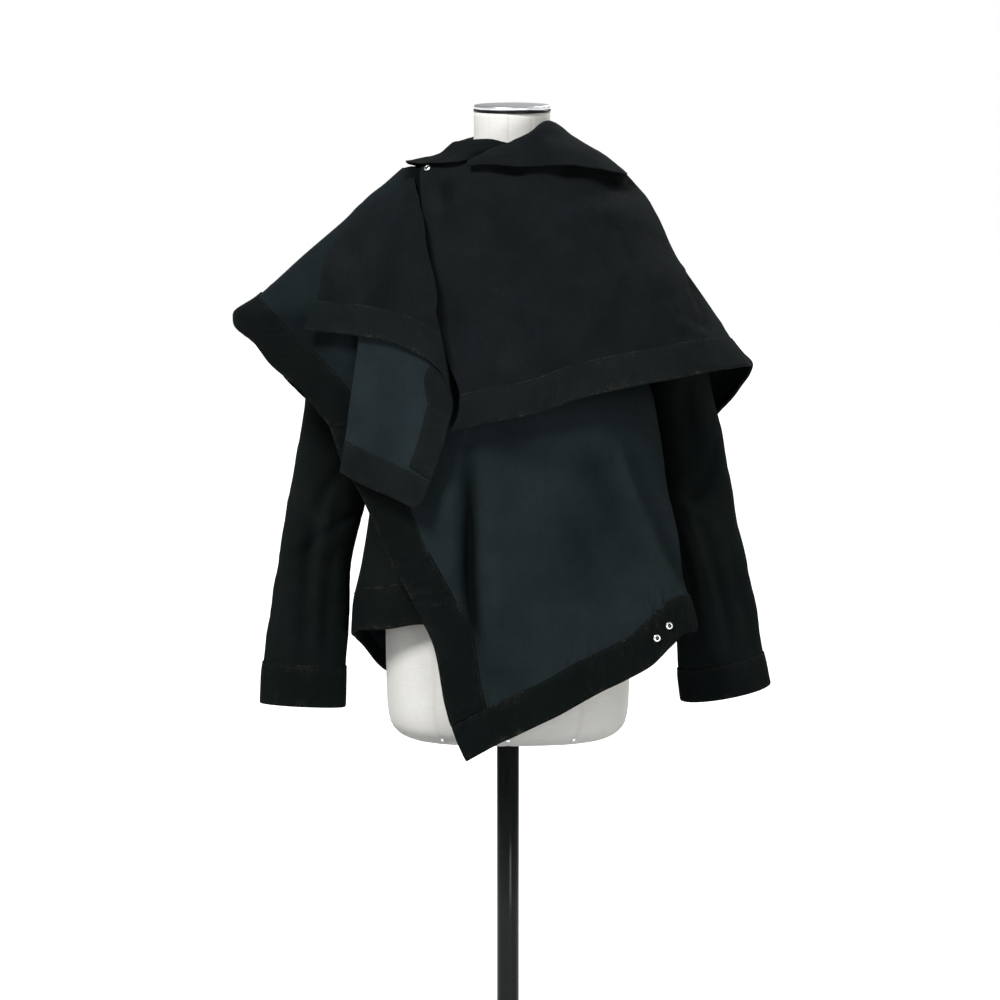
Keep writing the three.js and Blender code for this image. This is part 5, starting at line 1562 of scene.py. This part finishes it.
hem_band("band_wrap_hem", "front_wrap", WRAP_HEM_BAND, 230, 31, 1.0, 0.30, DEEP_BAND)
hem_band("band_cape_front", "cape_front", CAPE_BAND, 220, 32, 0.8, 0.12)
hem_band("band_cape_back", "cape_back", CAPE_BAND, 320, 33, 0.8, 0.15)
hem_band("band_flap", "flap", FLAP_BAND, 120, 34, 0.8, 0.22)
hem_band("band_tie_hem", "tie_end", TIE_HEM_BAND, 80, 35, 1.0, 0.28)
hem_band("waistband_inner", "front_inner", WAISTBAND, 110, 36, 0.8, 0.15, DEEP_BAND)
hem_band("band_back", "back", BACK_BAND, 240, 37, 0.8, 0.18, DEEP_BAND)
WRAP_WIDTHS = (WRAP_EDGE_BAND, WRAP_HEM_BAND)
side_band("band_wrap_edge", "front_wrap", "left", WRAP_WIDTHS, WING_SPAN, 280, 38, 1.0, 0.26, DEEP_BAND)
side_band("band_tie_edge", "tie_end", "right", (TIE_EDGE_BAND, TIE_HEM_BAND), (1.0, 1.0), 90, 39, 1.0, 0.3)


# Sleeves and cuffs


def around_sleeve(folds, girth):
    return [(a * girth, b, c * girth, *rest) for a, b, c, *rest in folds]


# Rubbed wear on the sleeve's ridges and painted shade in its troughs, half as strong again as on the panels.
def sleeve_wear_and_crease_shade(points, folds, share, turns):
    girth = np.linalg.norm(points - np.roll(points, 1, axis=1), axis=-1).sum(axis=1).mean()
    turn, rows = np.meshgrid(turns, share)
    return 1.5 * faded(fold_height(around_sleeve(folds, girth), turn * girth, rows * SLEEVE_RUN, girth))


def sleeve_grid(place, folds, share, turns, seed, lift=0.0):
    """A sleeve's folded surface over rows of share and columns of turn."""
    turn, rows = np.meshgrid(turns, share)
    base = place(turn, rows)
    middle = base.mean(axis=1, keepdims=True)
    outward = base - middle
    normals = grid_normals(base, outward, True)
    girth = np.linalg.norm(base - np.roll(base, 1, axis=1), axis=-1).sum(axis=1, keepdims=True)
    down = rows * SLEEVE_RUN
    mean_girth = float(girth.mean())
    around = around_sleeve(folds, mean_girth)
    calm = smooth_step(rows / 0.08) * (1 - 0.6 * smooth_step((rows - CUFF_START + 0.06) / 0.06))
    height = fold_height(around, turn * mean_girth, down, mean_girth)
    height = height + 0.8 * waves(seed, 9, 50, 130)(base[..., 0] + base[..., 1], base[..., 2])
    height = height + 0.16 * waves(seed + 40, 8, 14, 36)(base[..., 0] + base[..., 1], base[..., 2])
    points = base + normals * (height * calm + lift)[..., None]
    return points, grid_normals(points, outward, True)


# The cuff's section: how far along it, its height over the sleeve and its wear
CUFF_SECTION = [
    (0.0, 1.25, 0.4), (0.004, 1.9, 0.7), (0.02, 2.5, 0.6), (0.05, 2.5, 0.2), (0.075, 2.1, 0.1),
    (0.10, 2.5, 0.2), (0.2, 2.8, 0.05), (0.35, 2.9, 0), (0.5, 2.9, 0), (0.65, 2.9, 0), (0.8, 2.9, 0.05),
    (0.9, 2.9, 0.2), (0.96, 2.8, 0.5), (0.99, 2.4, 0.9), (1.0, 1.4, 1.0), (1.003, 0.2, 1.0),
    (0.995, -0.9, 0.6), (0.97, -1.3, 0.3), (0.8, -1.4, 0.1), (0.55, -1.4, 0.1), (0.5, -1.2, 0),
    (0.5, -1.05, 0), (0.8, -1.03, 0), (0.97, -0.9, 0), (0.988, 0.1, 0), (0.97, 1.2, 0), (0.6, 1.2, 0),
    (0.2, 1.2, 0),
]


def add_sleeve(side, rows, folds, seed):
    place = make_sleeve(rows, side)
    around = 120
    turns = np.arange(around) / around
    share = np.linspace(0.0, CUFF_START + 0.05, 190)
    points, normals = sleeve_grid(place, folds, share, turns, seed)
    worn = sleeve_wear_and_crease_shade(points, folds, share, turns)
    # The sleeves take the darker copy of the face denim, painted shade.
    piece = cloth_shell(f"cloth_sleeve_{side}", points, normals, [SHADED_FACE, REVERSE], worn, True)
    cuts[f"sleeve_{side}"] = (dress(piece, f"sleeve_{side}", "denim"), flat_cut(points, True))
    reach, rise, rubbed = np.array(CUFF_SECTION).T[..., None]
    fine = np.linspace(CUFF_START, 1.0, 40)
    base, base_normals = sleeve_grid(place, folds, fine, turns, seed)
    random = waves(seed + 9, 5, 0.16, 0.5)
    at = lerp(CUFF_START, 1.0, np.minimum(reach[:, 0], 1))
    rings = interpolated(at, fine, base) + rise[..., None] * interpolated(at, fine, base_normals)
    loose = np.clip((rise - 2.2) / 0.7, 0, 1)
    ripple = np.sin(turns * FULL_TURN * 17 + 2 * np.sin(turns * FULL_TURN * 3 + seed))[None, :]
    ripple = ripple + 0.5 * np.sin(turns * FULL_TURN * 29 + reach * 5)
    normals_at = base_normals[np.clip(np.round(reach[:, 0] * 39).astype(int), 0, 39)]
    rings += normals_at * (0.16 * loose * ripple)[..., None]
    wear = rubbed * (0.7 + 0.3 * random(turns, 0 * turns))[None, :] + 0.06 * loose * np.clip(ripple, 0, 2)
    run = np.linspace(0, 260, around)
    cloth = np.stack(np.meshgrid(run, reach[:, 0] * 60), axis=-1).reshape(-1, 2)
    vertices = rings.reshape(-1, 3)
    faces = face_outward(vertices, grid_faces(len(at), around, 0, True, True))
    worn = np.clip(wear, 0, 1).ravel()
    cuff = mesh_piece(f"cloth_cuff_{side}", vertices, faces, [DEEP_BAND], None, cloth, worn)
    sewn_on[f"sleeve_{side}"].append(dress(cuff, f"cuff_{side}", "denim_band"))
    closed = np.concatenate([rings[4], rings[4][:1]])
    closed_normals = np.concatenate([base_normals[3], base_normals[3][:1]])
    thread_lines[f"sleeve_{side}"].append((closed, closed_normals))


add_sleeve("left", SLEEVE_LEFT, SLEEVE_LEFT_FOLDS, 21)
add_sleeve("right", SLEEVE_RIGHT, SLEEVE_RIGHT_FOLDS, 22)


# Collar


def catmull_rom(knots, share):
    """A smooth line through knots of shape (count, ..., 2), at shares from 0 to 1 of its number of spans."""
    count = len(knots)
    position = share * (count - 1)
    i = np.clip(position.astype(int), 0, count - 2)
    t = (position - i)[:, None, None]
    p0 = knots[np.maximum(i - 1, 0)]
    p1 = knots[i]
    p2 = knots[i + 1]
    p3 = knots[np.minimum(i + 2, count - 1)]
    square = (2 * p0 - 5 * p1 + 4 * p2 - p3) * t**2
    cube = (3 * p1 - p0 - 3 * p2 + p3) * t**3
    return 0.5 * (2 * p1 + (p2 - p0) * t + square + cube)


def collar_points(rows, columns, ups):
    count = len(rows) - 1
    read = table_reader(COLLAR_COLUMNS, [(i / count, *row) for i, row in enumerate(rows)])
    row = read(np.linspace(0, 1, columns))
    roll = row["round"]
    spread = row["spread"]
    drop = row["drop"]
    zero = 0 * roll
    knots = np.array(
        [
            (-roll, -row["tuck"]),
            (-roll, -1.1 * roll),
            (-0.66 * roll, -0.28 * roll),
            (zero, zero),
            (0.72 * roll, -0.3 * roll),
            (lerp(1.1 * roll, spread, 0.22), -lerp(roll, drop, row["sag"] - 0.36)),
            (lerp(roll, spread, 0.66), -lerp(roll, drop, row["sag"])),
            (spread, -drop),
        ]
    )
    profile = catmull_rom(np.swapaxes(knots, 1, 2), np.linspace(0, 1, ups))
    facing = np.radians(row["facing"])
    x = row["x"] + profile[..., 0] * np.cos(facing)
    y = row["y"] + profile[..., 0] * np.sin(facing)
    z = row["z"] + profile[..., 1]
    return np.stack([x, y, z], axis=-1)


def collar_normals(points):
    """Normals that point up along the crest."""
    normals = grid_normals(points, None)
    crest = len(points) * 3 // 7
    return -normals if normals[crest, :, 2].sum() < 0 else normals


def add_collar(side, rows, seed):
    points = collar_points(rows, 124, 56)
    normals = collar_normals(points)
    a, b = grid_lengths(points)
    height = 0.5 * waves(seed, 8, 30, 90)(a, b) + 0.15 * waves(seed + 5, 8, 10, 30)(a, b)
    over = np.linspace(0, 1, len(points))[:, None]
    points = points + normals * (height * smooth_step(over / 0.4))[..., None]
    normals = collar_normals(points)
    wear = 0.02 + 0.5 * np.exp(-(((over - 0.43) / 0.07) ** 2)) * np.ones(points.shape[:2])
    piece = cloth_shell(f"cloth_collar_{side}", points, normals, [FACE, REVERSE], wear)
    cuts[f"collar_{side}"] = (dress(piece, f"collar_{side}", "denim"), flat_cut(points))
    sewn_on[f"collar_{side}"] = []


add_collar("left", COLLAR_LEFT, 41)
add_collar("right", COLLAR_RIGHT, 42)

for name, lines in thread_lines.items():
    if lines:
        thread_piece = stitches(f"stitches_{name}", lines, THREAD)
        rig.slot(thread_piece, "denim_band")
        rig.ride(thread_piece, "root")
        sewn_on[name].append(thread_piece)


# Snaps


def turned_piece(name, rows, origin, axis, look, around=48, scale_x=1.0):
    """A round piece about an axis, from rows of radius and height, with its ends filled."""
    turn = Vector((0, 0, 1)).rotation_difference(Vector(axis))
    angles = np.arange(around) / around * FULL_TURN
    radius, height = np.array(rows, float).T[..., None]
    x = radius * scale_x * np.cos(angles)
    y = radius * np.sin(angles)
    points = np.stack([x, y, height + 0 * y], axis=-1)
    matrix = np.array(turn.to_matrix())
    points = points @ matrix.T + np.array(origin)
    vertices = points.reshape(-1, 3)
    return mesh_piece(name, vertices, filled_ends(vertices, len(rows), around), [look])


SNAP_RING = [
    (4.4, 0.0), (4.75, 0.35), (4.8, 0.8), (4.72, 1.35), (4.45, 1.85), (4.0, 2.25),
    (3.4, 2.5), (2.9, 2.52), (2.55, 2.4), (2.35, 2.1), (2.28, 1.7), (2.28, 1.2),
]
SNAP_SOCKET = [(2.1, 0.9), (2.1, 1.35), (1.6, 1.3), (1.45, 1.75), (1.1, 2.0), (0.5, 2.06)]


def add_snap(node, panel_name):
    """A ring snap where its solid is, facing as the cloth does there."""
    mesh = frame["nodes"][node].data
    spots = np.array([tuple(v.co) for v in mesh.vertices]) / MM
    spread = spots - spots.mean(axis=0)
    _, _, axes = np.linalg.svd(spread, full_matrices=False)
    axis = axes[2]
    if axis[1] > 0:
        axis = -axis
    reach = spread @ axis
    origin = spots.mean(axis=0) + axis * reach.min()
    ring = turned_piece(f"{node}_ring", SNAP_RING, origin, axis, SNAP_METAL)
    sewn_on[panel_name].append(dress(ring, node, "snap_metal"))
    socket = turned_piece(f"{node}_socket", SNAP_SOCKET, origin, axis, DARK_METAL, 32)
    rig.slot(socket, "snap_metal")
    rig.ride(socket, "root")
    sewn_on[panel_name].append(socket)


add_snap("snap_hem_high", "front_wrap")
add_snap("snap_hem_low", "front_wrap")
add_snap("snap_shoulder", "cape_front")

# Dress form

PIN_ROWS = [(2.2, -0.6), (2.4, 0.2), (2.1, 0.7), (1.2, 1.0), (0.3, 1.05)]
form = OvalSurface(FORM_SECTIONS)
FORM_COLUMNS = 160
LOW_ROWS = [622, 622.6, 624, 626, 629, 633, 637, 642, 648, 658]
heights = np.concatenate([LOW_ROWS, np.linspace(670, NECK_TOP, 150)])
angles = np.arange(FORM_COLUMNS) / FORM_COLUMNS * FULL_TURN
grid_angle, grid_z = np.meshgrid(angles, heights)
torso = form.point(grid_angle, grid_z)
torso[..., 2] += torso[..., 1] * NECK_TILT * smooth_step((grid_z - 1360) / (NECK_TOP - 1360))

# Seams of the cover, by the angle they run at in half turns
FORM_SEAMS = (0.0, 0.31, 0.5, 0.69, 1.0, 1.32, 1.5, 1.68)
seam_mark = np.zeros(torso.shape[:2])
for seam in FORM_SEAMS:
    away = np.abs((grid_angle - seam * math.pi + math.pi) % FULL_TURN - math.pi)
    seam_mark = np.maximum(seam_mark, np.exp(-((away / 0.012) ** 2)))
form_normals = grid_normals(torso, torso * np.array([1, 1, 0]), True)
torso = torso - form_normals * (0.5 * seam_mark)[..., None]
vertices = torso.reshape(-1, 3)
faces = filled_ends(vertices, len(heights), FORM_COLUMNS)
torso_piece = mesh_piece("form_cover", vertices, faces, [LINEN], None, None, 0.35 * seam_mark.ravel())
dress(torso_piece, "form_torso", "linen")

# Pins along the form's lower edge: angle in half turns
for number, pin_turn in enumerate((0.31, 0.5, 0.69, 1.32, 1.68)):
    spot = form.point(pin_turn * math.pi, 633)
    away = np.array([spot[0], spot[1], -60])
    pin = turned_piece(f"form_pin_{number}", PIN_ROWS, spot, away / np.linalg.norm(away), SNAP_METAL, 24)
    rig.slot(pin, "cap_metal")
    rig.ride(pin, "root")

neck_axis = np.array([0, -NECK_TILT, 1.0])
neck_axis /= np.linalg.norm(neck_axis)
rim_start = np.array([NECK_X, 0, NECK_TOP]) + neck_axis * 0.3
RIM_ROWS = [(44.6, 0), (45.3, 0.2), (45.6, 0.7), (45.6, 2.3), (45.3, 2.8), (44.6, 3.0)]
CAP_ROWS = [
    (44.2, 0), (44.8, 0.5), (44.8, 3.2), (44.6, 3.9), (44.0, 4.5), (43.2, 4.85), (42.4, 5.0), (20, 5.0), (1, 5.0)
]
NECK_OVAL = 1.06
cap_start = rim_start + neck_axis * 3.3
rim = turned_piece("neck_rim_ring", RIM_ROWS, rim_start, neck_axis, PAINT, 120, NECK_OVAL)
cap = turned_piece("neck_cap_disc", CAP_ROWS, cap_start, neck_axis, CAP_METAL, 120, NECK_OVAL)
dress(rim, "neck_rim", "black_paint")
dress(cap, "neck_cap", "cap_metal")

POLE_ROWS = [
    (POLE_RADIUS - EDGE_ROUND, BASE_HEIGHT + 0.3),
    (POLE_RADIUS, BASE_HEIGHT + 1.1),
    (POLE_RADIUS, 200),
    (POLE_RADIUS, 400),
    (POLE_RADIUS, FORM_BOTTOM - 1.1),
    (POLE_RADIUS - EDGE_ROUND, FORM_BOTTOM - 0.3),
]
BASE_ROWS = [
    (1, 0),
    (BASE_RADIUS - 2, 0),
    (BASE_RADIUS - 0.6, 0.5),
    (BASE_RADIUS, 1.6),
    (BASE_RADIUS, 7.5),
    (BASE_RADIUS - 0.3, 8.9),
    (BASE_RADIUS - 1.3, 10.3),
    (BASE_RADIUS - 2.8, 11.3),
    (BASE_RADIUS - 5, 11.9),
    (BASE_RADIUS - 7, BASE_HEIGHT),
    (60, BASE_HEIGHT),
    (1, BASE_HEIGHT),
]
dress(turned_piece("stand_pole", POLE_ROWS, (0, 0, 0), (0, 0, 1), PAINT, 64), "pole", "black_paint")
dress(turned_piece("stand_base", BASE_ROWS, (0, 0, 0), (0, 0, 1), PAINT, 160), "base", "black_paint")

# Floor, backdrop and light


def pale_material():
    """White, and bright enough far away to meet the backdrop."""
    material, tree, shader = new_material("pale_floor")
    place = add_node(tree, "ShaderNodeTexCoord").outputs["Object"]
    away = add_node(tree, "ShaderNodeVectorMath", operation="LENGTH")
    tree.links.new(place, away.inputs[0])
    shader.inputs["Base Color"].default_value = (0.9, 0.9, 0.9, 1)
    shader.inputs["Roughness"].default_value = 1.0
    shader.inputs["Specular IOR Level"].default_value = 0.0
    shader.inputs["Emission Color"].default_value = (1, 1, 1, 1)
    glow = add_node(tree, "ShaderNodeMapRange")
    glow.inputs["From Min"].default_value = 0.4
    glow.inputs["From Max"].default_value = 1.9
    glow.inputs["To Min"].default_value = 0.28
    glow.inputs["To Max"].default_value = 1.0
    tree.links.new(away.outputs["Value"], glow.inputs["Value"])
    tree.links.new(glow.outputs["Result"], shader.inputs["Emission Strength"])
    return material


FLOOR_HALF = 120.0
floor_mesh = bpy.data.meshes.new("floor")
floor_corners = [(x, y, -0.0005) for y in (-FLOOR_HALF, FLOOR_HALF) for x in (-FLOOR_HALF, FLOOR_HALF)]
floor_mesh.from_pydata(floor_corners, [], [(0, 1, 3, 2)])
floor_mesh.materials.append(pale_material())
floor = bpy.data.objects.new("floor", floor_mesh)
floor.visible_diffuse = False
bpy.context.scene.collection.objects.link(floor)
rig.stage(floor)

# A white backdrop all round near the horizon, and softer light above and below it
world = bpy.data.worlds.new("studio")
world.use_nodes = True
sky = world.node_tree
direction = add_node(sky, "ShaderNodeTexCoord").outputs["Generated"]
upward = add_node(sky, "ShaderNodeSeparateXYZ")
sky.links.new(direction, upward.inputs[0])
strength = add_node(sky, "ShaderNodeMapRange")
for socket, value in (("From Min", 0.07), ("From Max", 0.16), ("To Min", 1.0), ("To Max", 0.34)):
    strength.inputs[socket].default_value = value
sky.links.new(math_node(sky, "ABSOLUTE", upward.outputs[2]), strength.inputs["Value"])
sky.links.new(strength.outputs["Result"], sky.nodes["Background"].inputs["Strength"])
sky.nodes["Background"].inputs["Color"].default_value = (1, 1, 1, 1)
bpy.context.scene.world = world
bpy.context.scene.view_settings.view_transform = "Standard"

# Lights: name, place, size and power
LIGHTS = [
    ("key", (-2.0, -3.4, 4.8), 1.5, 300),
    ("fill", (2.0, -4.2, 0.5), 1.4, 66),
    ("back", (2.2, 3.0, 4.6), 1.8, 190),
]
for light_name, place, size, power in LIGHTS:
    light_data = bpy.data.lights.new(light_name, "AREA")
    light_data.size = size
    light_data.energy = power
    light = bpy.data.objects.new(light_name, light_data)
    light.location = place
    light.rotation_euler = (Vector(place) - Vector((0, 0, 1.0))).to_track_quat("Z", "Y").to_euler()
    bpy.context.scene.collection.objects.link(light)

# Sheets of cloth, and what each one hangs from or rests on
RESTS_ON = {
    "back": ("form_cover",),
    "front_inner": ("form_cover",),
    "front_wrap": ("form_cover", "cloth_front_inner"),
    "cape_front": ("cloth_front_wrap", "cloth_cape_back"),
    "cape_back": ("cloth_back", "cloth_front_wrap"),
    "tie_end": ("cloth_front_wrap",),
    "flap": ("cloth_front_wrap", "cloth_tie_end"),
    "sleeve_left": ("cloth_back", "cloth_front_inner"),
    "sleeve_right": ("cloth_back", "cloth_front_wrap"),
    "collar_left": ("cloth_cape_back", "cloth_front_wrap"),
    "collar_right": ("cloth_cape_back", "cloth_cape_front"),
}
HUNG = ("sleeve_left", "sleeve_right", "tie_end", "flap")
for name, (piece, (width, length, area)) in cuts.items():
    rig.sheet(
        piece,
        flat=(width, length),
        held="hung" if name in HUNG else "draped",
        rests_on=RESTS_ON[name],
        area=area,
        with_pieces=sewn_on[name],
    )

visual_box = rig.bounds()
with open("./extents.json", "w") as size_file:
    json.dump(
        {"cad": [list(corner) for corner in cad_box], "visual": [list(corner) for corner in visual_box]}, size_file
    )
